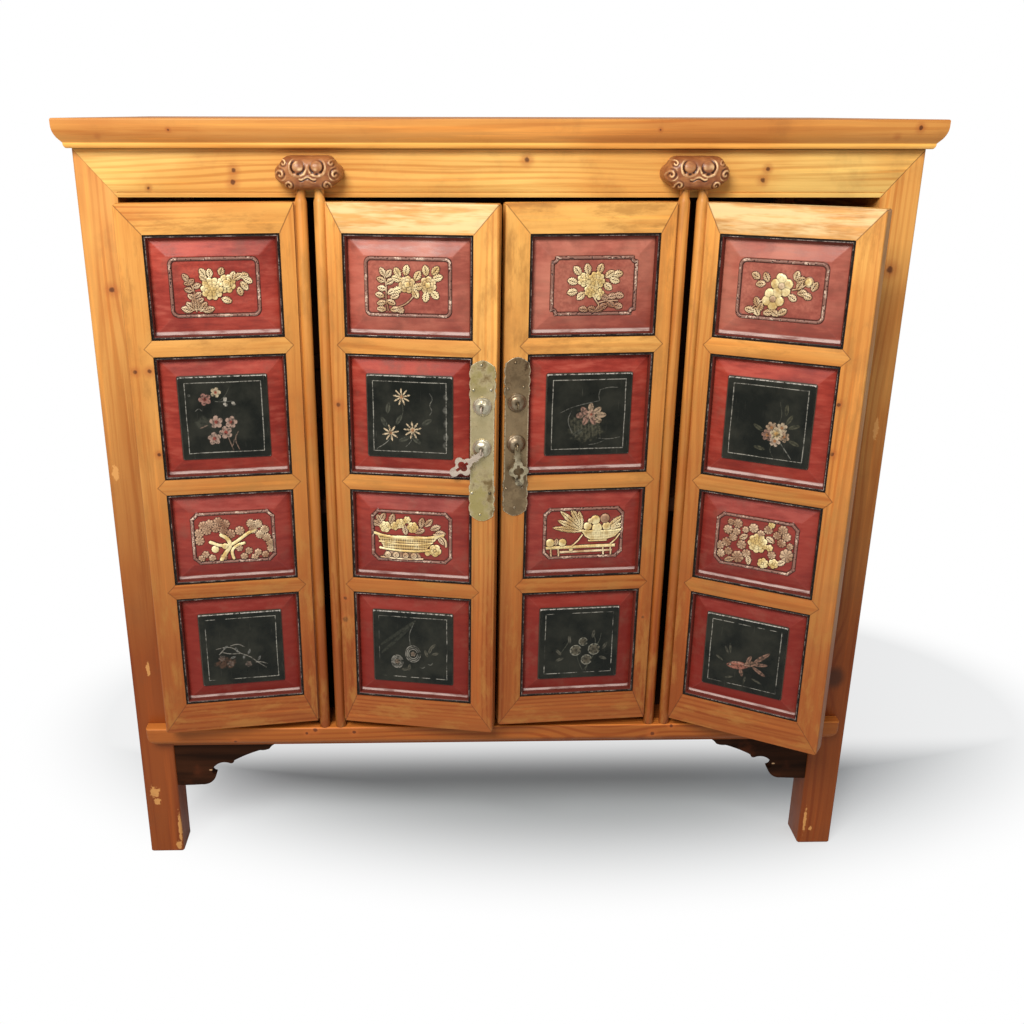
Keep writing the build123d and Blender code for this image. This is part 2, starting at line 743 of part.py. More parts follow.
# ---- brass ----
def make_lock_plate():
    """Long plate: pointed ends with convex shoulders, then scalloped and at last straight edges."""
    x = plate_width / 2
    z = plate_length / 2
    shoulder = z - plate_end_rise
    pieces = [[(0, z), (x * 0.58, z - plate_end_rise * 0.36), (x - plate_scallop_depth, shoulder)]]
    for i in range(plate_scallops):
        top = shoulder - i * plate_scallop_pitch
        low = top - plate_scallop_pitch
        pieces.append([(x - plate_scallop_depth, top), (x, (top + low) / 2),
                       (x - plate_scallop_depth, low)])
    low = pieces[-1][-1]
    below = [[(u, -v) for u, v in reversed(piece)] for piece in reversed(pieces)]
    right = pieces + [[low, (low[0], -low[1])]] + below
    face = curved_view(*(right + mirrored(right)))
    return Pos(plate_x, 0, plate_z) * through(face, plate_face, -leaf_front)


def make_boss(z):
    """Low turned dome on the plate, stepped in shallow cones up to its crown."""
    section = [(0, 0), (boss_radius, 0)]
    section += [(share * boss_radius, rise * boss_height) for share, rise in boss_steps]
    section += [(0, boss_height)]
    return Pos(plate_x, plate_face, z) * Rot(90, 0, 0) * revolve(front_view(*section), Axis.Z)


def make_staple(boss_z):
    """Bent wire loop: out of the boss, down, and back in on the run that a pull hangs on."""
    high = boss_z
    low = boss_z - staple_drop
    out = plate_face - staple_reach
    inside = -leaf_front + staple_leg_depth
    path = Polyline((plate_x, inside, high), (plate_x, out, high), (plate_x, out, low),
                    (plate_x, inside, low))
    section = Plane(origin=path @ 0, z_dir=path % 0) * Circle(staple_wire_radius)
    return sweep(section, path, transition=Transition.RIGHT)


def make_pull(swing):
    """Drop pull: an eye, a collared neck and an open ring with side and end lobes, swung aside."""
    middle = -pull_length
    neck_end = middle + pull_shoulder_offset
    body = Circle(pull_eye_radius)
    body += Pos(0, neck_end / 2) * Rectangle(pull_neck_width, -neck_end)
    body += Pos(0, neck_end) * Circle(pull_shoulder_radius)
    for side in (-1, 1):
        body += Pos(side * pull_side_lobe_offset, middle) * Circle(pull_side_lobe_radius)
    body += Pos(0, middle) * Circle(pull_side_lobe_offset + 2)
    body += Pos(0, middle - pull_end_lobe_offset) * Circle(pull_end_lobe_radius)
    body += Pos(0, middle - pull_end_lobe_offset / 2) * Rectangle(2 * pull_end_lobe_radius - 1,
                                                                 pull_end_lobe_offset)
    for side in (-1, 1):
        body -= Pos(side * pull_hole_radius / 2, middle) * Circle(pull_hole_radius)
    body -= Pos(0, middle - 1) * Rectangle(0.8 * pull_hole_radius, 4 * pull_hole_radius)
    body -= Circle(staple_wire_radius + pull_eye_clearance)
    body = extrude(body, amount=pull_thickness)
    for i in range(2):
        y = -pull_eye_radius - 4.5 - i * pull_collar_pitch
        body += Pos(0, y, pull_thickness / 2) * Box(pull_collar_width, pull_collar_height,
                                                    pull_thickness)
    return Pos(plate_x, pull_back, pull_axis_z) * Rot(0, swing, 0) * Rot(90, 0, 0) * body


def make_brass(pull_swing):
    """Brass of one inner leaf; the stile and plate are cut for the staples' legs."""
    plate = make_lock_plate()
    levels = [plate_z + upper_boss_offset, plate_z + lower_boss_offset]
    staples = [make_staple(z) for z in levels]
    bosses = [make_boss(z) for z in levels]
    for staple in staples:
        plate -= staple
    bosses = [boss - staple for boss, staple in zip(bosses, staples)]
    return {"lock_plate": plate, "bosses": group(bosses), "staples": group(staples),
            "drop_pull": make_pull(pull_swing)}, staples


# ---- placing ----
def place(shape, side, pole_x, angle):
    """Hang a leaf piece: side is -1 where the leaf reaches left of its pole, +1 right."""
    if side < 0:
        shape = mirror(shape, about=Plane.YZ)
    return Pos(pole_x, -pole_setout, 0) * Rot(0, 0, -side * angle) * shape


def footprint_middle():
    """Y of the footprint's middle, to a tenth: half way from the widest leaf's corner to the back."""
    angle = radians(ajar_outer_right)
    r = leaf_edge_round
    front = -pole_setout - (leaf_width - r) * sin(angle) - (leaf_front - r) * cos(angle) - r
    return round((front + body_depth + top_back_overhang) / 2, 1)


def build_all():
    nodes = make_top()

    header = make_header()
    holes = [foot_hole(side * x) for side in (-1, 1) for x in (inner_pole_x, outer_pole_x)]
    sill = make_sill(holes)
    back_rails = make_back_rails()
    back_boards = make_back_boards()
    side_rails = make_side_rails()
    side_panels = make_side_panels()
    floor_front = sill_thickness - board_tongue
    floor_back = back_rail_front + board_tongue
    floor_top = sill_top - floor_drop
    floor = cross_board(floor_top - floor_thickness, floor_top, side_rail_inner + board_tongue,
                        floor_front, floor_back)
    shelf_rails, shelf_board, shelf_bearers = make_shelf()
    spandrels = left_right(make_spandrel())
    sockets = left_right(make_socket())

    front_post = make_post_blank(0, post_size, 0)
    back_post = make_post_blank(back_post_front, body_depth, body_depth)
    outer_edge = rounding(-half_body, 0, 1, 1, post_outer_round, 0, carcass_top)
    for cut in left_right(outer_edge) + sockets:
        header -= cut
    for other in [header, sill] + shelf_rails + side_rails + side_panels:
        front_post -= other
    for other in back_rails + back_boards + shelf_rails + side_rails + side_panels:
        back_post -= other
    sill -= floor
    for spandrel in spandrels:
        sill -= spandrel
    cut_back_rails = []
    for rail in back_rails:
        for other in back_boards + [floor]:
            rail -= other
        cut_back_rails.append(rail)
    cut_side_rails = []
    for rail in side_rails:
        for other in side_panels + [floor]:
            rail -= other
        cut_side_rails.append(rail)

    nodes["header_rail"] = header
    nodes["sill_rail"] = sill
    nodes["post_front_left"], nodes["post_front_right"] = left_right(front_post)
    nodes["post_back_left"], nodes["post_back_right"] = left_right(back_post)
    nodes["back_rails"] = group(cut_back_rails)
    nodes["back_boards"] = group(back_boards)
    nodes["side_rails_left"], nodes["side_rails_right"] = left_right(group(cut_side_rails))
    nodes["side_panels_left"], nodes["side_panels_right"] = left_right(group(side_panels))
    nodes["floor_board"] = floor
    nodes["shelf_rails"] = group(shelf_rails)
    nodes["shelf_board"] = shelf_board
    nodes["shelf_bearers"] = group(shelf_bearers)
    nodes["spandrel_left"], nodes["spandrel_right"] = spandrels
    nodes["socket_left"], nodes["socket_right"] = sockets

    leaf = make_leaf()
    leaves = (("outer_left", -1, -outer_pole_x, ajar_outer_left, None),
              ("inner_left", 1, -inner_pole_x, ajar_inner_left, pull_left_swing),
              ("inner_right", -1, inner_pole_x, ajar_inner_right, pull_right_swing),
              ("outer_right", 1, outer_pole_x, ajar_outer_right, None))
    for name, side, pole_x, angle, pull_swing in leaves:
        pieces = dict(leaf)
        if pull_swing is not None:
            brass, staples = make_brass(pull_swing)
            stile = pieces["free_stile"]
            for staple in staples:
                stile -= staple
            pieces["free_stile"] = stile
            pieces.update(brass)
        for ending, shape in pieces.items():
            nodes[name + "_" + ending] = place(shape, side, pole_x, angle)
    return nodes


if __name__ == "__main__":
    os.makedirs("parts", exist_ok=True)
    shift = Pos(0, -footprint_middle(), 0)
    for node_name, node_shape in build_all().items():
        export_step(shift * node_shape, os.path.join("parts", node_name + ".step"))
    print("origin lies", footprint_middle(), "behind the front face of the posts")
    print("poles at X", round(inner_pole_x, 4), round(outer_pole_x, 4))
    print("pull's axis at X", round(plate_x, 4), "from the pole, Z", round(pull_axis_z, 4))
    print("overall height", overall_height)
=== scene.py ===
"""Looks of a pine wedding cabinet with four framed leaves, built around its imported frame.

The frame and the meshes are in metres: X to the right, Y to the back, Z up. Inside the functions
that shape a piece, sizes are in millimetres. A leaf's own coordinates are l, from its pole's axis
to its free edge, t, from the axis plane back into the wood, and z, the height.
"""

import json
import zlib
from math import cos, pi, radians, sin

import bmesh
import bpy
import numpy as np
from mathutils import Matrix, Vector

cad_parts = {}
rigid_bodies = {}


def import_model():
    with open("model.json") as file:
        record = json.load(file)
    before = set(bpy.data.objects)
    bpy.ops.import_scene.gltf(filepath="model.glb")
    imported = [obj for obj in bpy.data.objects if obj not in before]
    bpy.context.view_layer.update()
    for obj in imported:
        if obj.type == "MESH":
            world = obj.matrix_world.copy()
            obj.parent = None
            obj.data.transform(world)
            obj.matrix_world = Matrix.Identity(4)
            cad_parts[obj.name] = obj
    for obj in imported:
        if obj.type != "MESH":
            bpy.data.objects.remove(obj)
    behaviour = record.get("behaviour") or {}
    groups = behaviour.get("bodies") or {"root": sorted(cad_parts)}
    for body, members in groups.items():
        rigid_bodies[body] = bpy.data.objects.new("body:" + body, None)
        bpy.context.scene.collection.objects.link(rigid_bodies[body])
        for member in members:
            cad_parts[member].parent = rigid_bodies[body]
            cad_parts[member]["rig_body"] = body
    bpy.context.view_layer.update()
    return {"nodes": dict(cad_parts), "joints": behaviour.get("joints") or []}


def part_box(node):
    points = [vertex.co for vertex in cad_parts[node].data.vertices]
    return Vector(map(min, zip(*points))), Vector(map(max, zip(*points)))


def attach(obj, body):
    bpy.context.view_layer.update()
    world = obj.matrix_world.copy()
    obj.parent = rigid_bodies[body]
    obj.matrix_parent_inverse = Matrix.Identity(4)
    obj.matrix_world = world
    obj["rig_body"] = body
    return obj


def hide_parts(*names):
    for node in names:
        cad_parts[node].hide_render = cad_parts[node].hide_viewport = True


MM = 0.001

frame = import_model()
NODES = frame["nodes"]
JOINTS = {joint["name"]: joint for joint in frame["joints"]}


def seeded(name):
    """Random numbers that belong to one piece and never change."""
    return np.random.default_rng(zlib.crc32(name.encode()))


# ---- places read from the frame ----
class Leaf:
    """One leaf at rest: its pole's foot, the side it reaches to and how far it stands ajar."""

    def __init__(self, name):
        hinge = JOINTS[name + "_hinge"]
        self.name = name
        self.body = name + "_leaf"
        self.pole = np.array(hinge["pos_m"][:2]) / MM
        self.side = -round(hinge["axis"][2])
        self.ajar = radians(-hinge["range_deg"][0])

    def directions(self):
        """Unit vectors along the leaf and back into its wood, in the cabinet's plan."""
        s, a = self.side, self.ajar
        return np.array((s * cos(a), -sin(a))), np.array((s * sin(a), cos(a)))

    def place(self, l, t, z):
        """Cabinet coordinates in metres of points given in the leaf's own millimetres."""
        along, through = self.directions()
        l, t, z = np.broadcast_arrays(l, t, z)
        x = self.pole[0] + l * along[0] + t * through[0]
        y = self.pole[1] + l * along[1] + t * through[1]
        return np.stack((x, y, z), axis=-1) * MM

    def own(self, points):
        """The leaf's own millimetres of points given in the cabinet's metres."""
        along, through = self.directions()
        flat = points[:, :2] / MM - self.pole
        return np.stack((flat @ along, flat @ through, points[:, 2] / MM), axis=-1)


def vertex_places(obj):
    """Every vertex of a mesh as one array."""
    places = np.empty(len(obj.data.vertices) * 3)
    obj.data.vertices.foreach_get("co", places)
    return places.reshape(-1, 3)


LEAVES = {name: Leaf(name) for name in ("outer_left", "inner_left", "inner_right", "outer_right")}
FRONT_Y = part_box("post_front_left")[0].y


# ---- meshes ----
FLAT_ANGLE = radians(0.6)     # faces that bend less are one flat
ARRIS_ANGLE = radians(32)     # edges that bend more are planed off
CRISP_ANGLE = radians(28)     # edges that bend more stay crisp
GRAIN_STARTS = (6, 0.6, 0.6)  # furthest start of a board's grain, in metres
BOARD_TONES = (-0.45, 0.6)    # darkest and palest board


def finish_piece(obj, body, material, replaced=()):
    """Put a new piece on its body with its finish, and hide the CAD nodes it replaces."""
    obj.data.materials.clear()
    obj.data.materials.append(material)
    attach(obj, body)
    if replaced:
        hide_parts(*replaced)
    return obj


def linked(name, data):
    """Object of the scene with a mesh, a lamp or a camera in it."""
    obj = bpy.data.objects.new(name, data)
    bpy.context.scene.collection.objects.link(obj)
    return obj


def new_piece(name, places, faces):
    """Smooth mesh object from arrays of vertex places (metres) and of faces."""
    mesh = bpy.data.meshes.new(name)
    mesh.from_pydata(places.reshape(-1, 3).tolist(), [], faces)
    mesh.validate()
    mesh.polygons.foreach_set("use_smooth", np.full(len(mesh.polygons), True))
    return linked(name, mesh)


def point_values(obj, name, values):
    """Store one number, or a row of three, for each vertex."""
    kind = "FLOAT_VECTOR" if values.ndim == 2 else "FLOAT"
    layer = obj.data.attributes.new(name, kind, "POINT")
    layer.data.foreach_set("vector" if values.ndim == 2 else "value",
        np.ascontiguousarray(values, dtype=np.float32).ravel())


def grid_faces(rows, columns, offset=0, flip=False, round_rows=False, round_columns=False):
    """Four-cornered faces between the points of a grid, closed round on itself where asked."""
    index = np.arange(rows * columns).reshape(rows, columns) + offset
    if round_rows:
        index = np.vstack((index, index[:1]))
    if round_columns:
        index = np.hstack((index, index[:, :1]))
    faces = np.stack((index[:-1, :-1], index[1:, :-1], index[1:, 1:], index[:-1, 1:]), axis=-1)
    faces = faces.reshape(-1, 4)
    return (faces[:, ::-1] if flip else faces).tolist()


def round_piece(name, grids, round_rows=False):
    """One piece from grids of places, each closed round its columns, or round both ways."""
    faces, offset = [], 0
    for grid in grids:
        faces += grid_faces(*grid.shape[:2], offset, round_rows=round_rows, round_columns=True)
        offset += grid.shape[0] * grid.shape[1]
    return new_piece(name, np.concatenate([grid.reshape(-1, 3) for grid in grids]), faces)


def rim_of(index):
    """Numbers of the points round the edge of a grid, in order."""
    return np.concatenate((index[0, :-1], index[:-1, -1], index[-1, :0:-1], index[:0:-1, 0]))


def outward(obj, sharp=50, weld=False):
    """Turn every face of a closed mesh outwards and keep the edges that bend by more than sharp.

    A mesh that is welded has the points that lie in one place joined first.
    """
    mesh = bmesh.new()
    mesh.from_mesh(obj.data)
    if weld:
        bmesh.ops.remove_doubles(mesh, verts=mesh.verts, dist=2e-6)
    bmesh.ops.recalc_face_normals(mesh, faces=mesh.faces)
    mesh.to_mesh(obj.data)
    mesh.free()
    obj.data.set_sharp_from_angle(angle=radians(sharp))


def loose_parts(mesh):
    """Number of the separate board that each vertex belongs to.

    Labels spread along the edges: each vertex takes its neighbours' lowest label, until none
    changes.
    """
    ends = np.empty(len(mesh.edges) * 2, dtype=int)
    mesh.edges.foreach_get("vertices", ends)
    a, b = ends.reshape(-1, 2).T
    label = np.arange(len(mesh.vertices))
    while True:
        low = np.minimum(label[a], label[b])
        spread = label.copy()
        np.minimum.at(spread, a, low)
        np.minimum.at(spread, b, low)
        spread = spread[spread]
        if np.array_equal(spread, label):
            return np.unique(label, return_inverse=True)[1]
        label = spread


def boards_of(shape):
    """Vertices of each board of a CAD mesh, whose faces come board by board.

    A board is complete once every side of its faces has been met twice.
    """
    boards, board, unmatched = [], {}, set()
    for face in shape.faces:
        corners = [tuple(round(c, 6) for c in vert.co) for vert in face.verts]
        for a, b in zip(corners, corners[1:] + corners[:1]):
            unmatched ^= {(min(a, b), max(a, b))}
        board.update(dict.fromkeys(face.verts))
        if not unmatched:
            boards.append(list(board))
            board = {}
    return boards + [list(board)] if board else boards


def worked_copy(node, material, arris=0.8, turn=0.0, steps=2, tone=None):
    """A CAD node's boards again, with worn arrises, and grain along each board.

    Each board is merged, its flats are joined to single faces, and each sharp edge is planed off
    by the arris. The attribute "grain" holds metres along, across and through the board from a
    starting point of its own, so no two boards show the same figure.
    """
    source = NODES[node]
    shape = bmesh.new()
    shape.from_mesh(source.data)
    for board in boards_of(shape):
        bmesh.ops.remove_doubles(shape, verts=board, dist=1e-6)
    bmesh.ops.dissolve_limit(shape, angle_limit=FLAT_ANGLE, verts=shape.verts, edges=shape.edges)
    if arris:
        sharp = [edge for edge in shape.edges if len(edge.link_faces) == 2
            and edge.calc_face_angle() > ARRIS_ANGLE]
        bmesh.ops.bevel(shape, geom=sharp, offset=arris * MM, segments=steps, profile=0.6,
            affect="EDGES", clamp_overlap=True)
    mesh = bpy.data.meshes.new(node + "_worked")
    shape.to_mesh(mesh)
    shape.free()
    obj = linked(node + "_worked", mesh)
    mesh.polygons.foreach_set("use_smooth", np.ones(len(mesh.polygons), dtype=bool))
    mesh.set_sharp_from_angle(angle=CRISP_ANGLE)
    run_grain(obj, node, turn, tone)
    return finish_piece(obj, source["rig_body"], material, [node])


def run_grain(obj, name, turn, given_tone=None):
    """Write the grain attribute: the longest side of each board's box is its length."""
    places = vertex_places(obj)
    c, s = cos(turn), sin(turn)
    straight = places @ np.array(((c, -s, 0), (s, c, 0), (0, 0, 1)))
    board = loose_parts(obj.data)
    grain = np.zeros_like(straight)
    rng = seeded(name)
    tone = np.zeros(len(places))
    for number in range(board.max() + 1):
        mine = board == number
        part = straight[mine]
        sides = part.max(axis=0) - part.min(axis=0)
        order = np.argsort(-sides)
        grain[mine] = part[:, order] - part.min(axis=0)[order] + rng.uniform((0, 0, 0),
            GRAIN_STARTS)
        tone[mine] = rng.uniform(*BOARD_TONES) if given_tone is None else given_tone
    point_values(obj, "grain", grain)
    point_values(obj, "tone", tone)


# ---- node trees ----
class Value:
    """What a node gives out. Sums, products and comparisons of values are math nodes."""

    def __init__(self, tree, socket):
        self.tree, self.socket = tree, socket

    def __add__(self, other):
        return self.tree.math("ADD", self, other)

    def __sub__(self, other):
        return self.tree.math("SUBTRACT", self, other)

    def __rsub__(self, other):
        return self.tree.math("SUBTRACT", other, self)

    def __mul__(self, other):
        return self.tree.math("MULTIPLY", self, other)

    def __truediv__(self, other):
        return self.tree.math("DIVIDE", self, other)

    def __gt__(self, other):
        return self.tree.math("GREATER_THAN", self, other)

    def __lt__(self, other):
        return self.tree.math("LESS_THAN", self, other)

    def __abs__(self):
        return self.tree.math("ABSOLUTE", self)

    def larger(self, other):
        return self.tree.math("MAXIMUM", self, other)

    def ramp(self, low, high, start=0.0, end=1.0, kind="SMOOTHSTEP"):
        """This carried from low..high to start..end, held at the ends."""
        return self.tree.add("ShaderNodeMapRange", {"Value": self, "From Min": low,
            "From Max": high, "To Min": start, "To Max": end}, interpolation_type=kind)["Result"]

    def mix(self, a, b, blend="MIX", share=None):
        """Colour that goes from a to b as this goes from 0 to 1."""
        a, b = ((*c, 1) if isinstance(c, tuple) else c for c in (a, b))
        return self.tree.add("ShaderNodeMix", {0: share or self, 6: a, 7: b}, data_type="RGBA",
            blend_type=blend, clamp_factor=True)[2]

    def tint(self, *by):
        """This colour with its red, green and blue each multiplied."""
        return self.mix(self, by, "MULTIPLY", 1.0)

    def parts(self):
        """The three numbers of a vector."""
        return self.tree.add("ShaderNodeSeparateXYZ", {"Vector": self})

    def vector(self, operation, other=(0, 0, 0), kind=0):
        return self.tree.add("ShaderNodeVectorMath", {0: self, 1: other}, operation=operation)[kind]

    def scaled(self, scale, shift=(0, 0, 0)):
        return self.tree.add("ShaderNodeMapping",
            {"Vector": self, "Scale": scale, "Location": shift})[0]

    def noise(self, scale=1.0, detail=3.0, rough=0.5):
        """Noise at the places this vector names."""
        return self.tree.add("ShaderNodeTexNoise", {"Vector": self, "Scale": scale,
            "Detail": detail, "Roughness": rough, "Distortion": 0.0})["Fac"]


class Node:
    """A shader node: reading a name or number takes an output, writing one sets an input."""

    def __init__(self, tree, kind):
        self.tree, self.made = tree, tree.tree.nodes.new(kind)

    def __getitem__(self, key):
        return Value(self.tree, self.made.outputs[key])

    def __setitem__(self, key, value):
        socket = self.made.inputs[key]
        if isinstance(value, Value):
            self.tree.tree.links.new(value.socket, socket)
        else:
            socket.default_value = value


class Tree:
    """Short way to place and join shader nodes."""

    def __init__(self, tree):
        self.tree = tree
        self.tree.nodes.clear()

    def add(self, kind, values=(), **settings):
        """A node with its settings and its input values, each a number, a colour or a value."""
        node = Node(self, kind)
        for key, value in settings.items():
            setattr(node.made, key, value)
        for key, value in dict(values).items():
            node[key] = value
        return node

    def math(self, operation, a, b=0.0):
        return self.add("ShaderNodeMath", {0: a, 1: b}, operation=operation)[0]

    def attribute(self, name, kind="Fac"):
        return self.add("ShaderNodeAttribute", attribute_name=name)[kind]

    def place(self):
        """Where the surface is, in the cabinet's metres."""
        return self.add("ShaderNodeTexCoord")["Object"]

    def group(self, group, **values):
        return self.add("ShaderNodeGroup", values, node_tree=group)


def new_group(name, inputs, outputs):
    """Empty node group with named sockets. Returns the tree, its inputs and its output node."""
    group = bpy.data.node_groups.new(name, "ShaderNodeTree")
    tree = Tree(group)
    kinds = {"float": "NodeSocketFloat", "colour": "NodeSocketColor", "vector": "NodeSocketVector"}
    for way, sockets in (("INPUT", inputs), ("OUTPUT", outputs)):
        for label, kind in sockets.items():
            group.interface.new_socket(name=label, in_out=way, socket_type=kinds[kind])
    return tree, tree.add("NodeGroupInput"), tree.add("NodeGroupOutput")


def new_material(name, roughness=0.5, coat=0.0, coat_roughness=0.2, metallic=0.0, specular=0.5):
    """Material with a Principled shader whose plain values are set on its own sockets."""
    material = bpy.data.materials.new(name)
    material.use_nodes = True
    tree = Tree(material.node_tree)
    shader = tree.add("ShaderNodeBsdfPrincipled", {"Roughness": roughness, "Coat Weight": coat,
        "Metallic": metallic, "Coat Roughness": coat_roughness, "Specular IOR Level": specular})
    tree.add("ShaderNodeOutputMaterial", {"Surface": shader[0]})
    return material, tree, shader


def add_bump(shader, height, distance, strength=1.0):
    """Bump of a height in metres times distance."""
    shader["Normal"] = shader.tree.add("ShaderNodeBump",
        {"Height": height, "Distance": distance, "Strength": strength})["Normal"]


# ---- sizes shared by the leaves, in millimetres of their own ----
OPENING = (29.8, 204.75)
ROWS = {"carved_upper": (837.0, 972.0), "painted_upper": (645.0, 815.5),
    "carved_lower": (488.5, 623.5), "painted_lower": (296.5, 467.0)}
BEAD_WIDTH = 5.5
MIDDLE = sum(OPENING) / 2                      # of the openings, from the pole
OPENING_HALF = (OPENING[1] - OPENING[0]) / 2
PANEL_RIM = 1.5
PANEL_BACK = 11.0
FIELD_MARGIN = 28.0
FIELD_RISE = 7.0          # rim to field
TABLET_RISE = 2.0
TABLET_EDGE = 0.6
RELIEF_LIMIT = 3.3        # no carving stands higher than this; heights near it are eased
RELIEF_GAIN = 1.45
RING_MARGIN = 31.0        # opening's edge to the middle line of the moulded frame
RING_HALF_WIDTH = 2.2
RING_RISE = 2.4
GROUND_SPACING = 2.4      # grid spacing under the bead, on the slopes and on the field
SLOPE_SPACING = 1.1
CARVED_SPACING = 0.62
PAINTED_SPACING = 0.72
POLE_GROOVE = 10.5
LEAF_WIDTH = 237.75
LEAF_ENDS = (251.5, 1010.0)
BODY_HALF = 556.0
BODY_TOP = 1075.0
POST = 53.0
HEADER_BOTTOM = 1014.5
LEDGE_TOP = 237.0
LEDGE_REACH = 0.022       # how far the ledge and the top stand out, in metres
TOP_REACH = 0.025
LEAF_FACE = -9.0
SEAM_FADE = 48.0          # square millimetres off a mitre's line at which its dark has faded
PALE_TOP_RAIL = (966, 980)     # heights between which the leaves' top rails turn pale
TOP_BEAD = (1.0835, 1.0815)   # heights in metres over which the paler bead starts: partly rubbed, partly painted highlight
RINGS = 130               # growth rings to a metre across the board


# ---- pine ----
def make_pine_group():
    """Old varnished pine.

    Growth rings are lines along the board: the distance across it, bent by slow noise and pushed
    aside round each knot, is turned into thin dark bands. Streaks and fibres are noise stretched
    along the board. Knots are the middles of a few cells of a Voronoi pattern.
    """
    tree, given, out = new_group("pine_figure", {"Grain": "vector", "Tone": "float"},
        dict.fromkeys(("Figure", "Streaks", "Fibre", "Knot", "Varnish"), "float"))
    grain = given["Grain"]
    drift = grain.scaled((1.1, 9, 9)).noise(detail=2.0)
    ripple = grain.scaled((7, 40, 40)).noise(detail=2.0)
    cells = tree.add("ShaderNodeTexVoronoi",
        {"Vector": grain.scaled((2.6, 9.0, 3.0)), "Scale": 1.0, "Randomness": 0.85})
    chosen = tree.add("ShaderNodeSeparateColor", {"Color": cells["Color"]})[0] > 0.66
    near_knot = chosen * cells["Distance"].ramp(0.34, 0.0)
    knot = chosen * (cells["Distance"] + ripple * 0.02).ramp(0.075, 0.03)
    _, across, through = grain.parts()
    across = across + through * 0.7
    bent = across + drift * 0.06 + near_knot * 0.02 + ripple * 0.003
    rings = tree.math("SINE", bent * (2 * pi * RINGS))
    late = rings.ramp(-0.2, 1.0)
    strength = grain.scaled((1.5, 22, 22), (3, 1, 0)).noise(detail=1.0).ramp(0.35, 0.7)
    out["Figure"] = late * strength
    out["Streaks"] = grain.scaled((2.6, 95, 95), (1, 5, 2)).noise(detail=5.0, rough=0.7)
    out["Fibre"] = grain.scaled((30, 1500, 1500)).noise(detail=2.0)
    out["Knot"] = knot
    blotch = grain.scaled((5, 13, 13), (7, 2, 9)).noise(detail=3.0)
    out["Varnish"] = blotch + given["Tone"] * 0.08
    return tree.tree


def make_wear_group():
    """How near the floor a place on the cabinet is, with a wandering edge, and patches of grime."""
    tree, given, out = new_group("age", {"Place": "vector"},
        dict.fromkeys(("Low", "Grime"), "float"))
    z = given["Place"].parts()[2]
    wander = given["Place"].noise(3.0, detail=2.0)
    level = z + wander * 0.16
    out["Low"] = level.ramp(1.06, 0.44, kind="LINEAR")
    out["Grime"] = given["Place"].noise(14.0, detail=5.0, rough=0.65).ramp(0.52, 0.78)
    return tree.tree


def make_knot_group():
    """One knot at a named place: a dark heart, and round it a ring of redder wood."""
    tree, given, out = new_group("named_knot", {"Place": "vector", "Centre": "vector",
        "Radius": "float"}, {"Heart": "float", "Round": "float"})
    gap = given["Place"].vector("DISTANCE", given["Centre"], "Value")
    ragged = given["Place"].noise(160.0, 2.0) * 0.9
    far = gap / given["Radius"] - ragged
    out["Heart"] = far.ramp(0.5, 0.0)
    out["Round"] = far.ramp(2.6, 0.0)
    return tree.tree


def with_knots(tree, colour, place, knots):
    """Colour with each knot of a list ((x, y, z) in metres, radius in millimetres) drawn on it."""
    for centre, radius in knots:
        knot = tree.group(KNOT, Place=place, Centre=centre, Radius=radius * MM)
        colour = (knot["Round"] * 0.55).mix(colour, (0.36, 0.085, 0.018))
        colour = (knot["Heart"] * 0.8).mix(colour, (0.06, 0.013, 0.005))
    return colour


def ragged_patch(place, centre, half):
    """Worn patch: an ellipse of given half sizes in metres with a torn edge."""
    away = place.vector("SUBTRACT", centre).vector("DIVIDE", half)
    far = away.vector("LENGTH", kind="Value")
    torn = place.noise(170.0, 4.0, 0.65) * 1.7
    return (far + torn).ramp(1.6, 1.4)


def seam(across, up, width, height):
    """Dark line along a mitre that climbs a height over a width from 0, 0, in millimetres."""
    offset = up * width - across * height
    gap = abs(offset / SEAM_FADE)
    inside = (across > 0) * (up > 0)
    return gap.ramp(1.0, 0.35) * inside


def leaf_marks(tree, colour, place):
    """Dark seams between a leaf's rails and stiles, brown mottling, and a paler upper rail, partly
    bleached and partly a painted highlight where the light falls on the leaf tops.
    """
    l, _, z = tree.attribute("spot", "Vector").parts()
    aside = l - MIDDLE
    across = abs(aside) - OPENING_HALF
    width = aside.ramp(-1, 1, OPENING[0] - POLE_GROOVE, LEAF_WIDTH - OPENING[1])
    up = z - ROWS["carved_upper"][1]
    down = ROWS["painted_lower"][0] - z
    dark = seam(across, up, width, LEAF_ENDS[1] - ROWS["carved_upper"][1])
    dark = dark.larger(seam(across, down, width, ROWS["painted_lower"][0] - LEAF_ENDS[0]))
    edges = sorted(z for row in ROWS.values() for z in row)[1:-1]
    for low, high in zip(edges[0::2], edges[1::2]):
        rise = abs(z - (low + high) / 2)
        gap = abs(across + rise - (high - low) / 2)
        near = gap.ramp(1.2, 0.4) * (across > 0)
        dark = dark.larger(near)
    grain = tree.attribute("grain", "Vector")
    mottle = grain.scaled((13, 42, 42)).noise(detail=5.0, rough=0.7).ramp(0.46, 0.66)
    colour = (mottle * 0.6).mix(colour, (0.38, 0.165, 0.036))
    kept = grain.scaled((7, 60, 60)).noise(detail=4.0, rough=0.7).ramp(0.6, 0.42, 0.2, 0.85)
    chosen = tree.attribute("tone").ramp(0.4, 0.7)
    # paler top rails: partly bleached wood, partly a painted highlight where the light falls on the
    # leaf tops
    pale = z.ramp(*PALE_TOP_RAIL) * kept * chosen
    colour = (pale * 0.85).mix(colour, (0.88, 0.67, 0.34))
    return (dark * 0.55).mix(colour, (0.09, 0.028, 0.009))


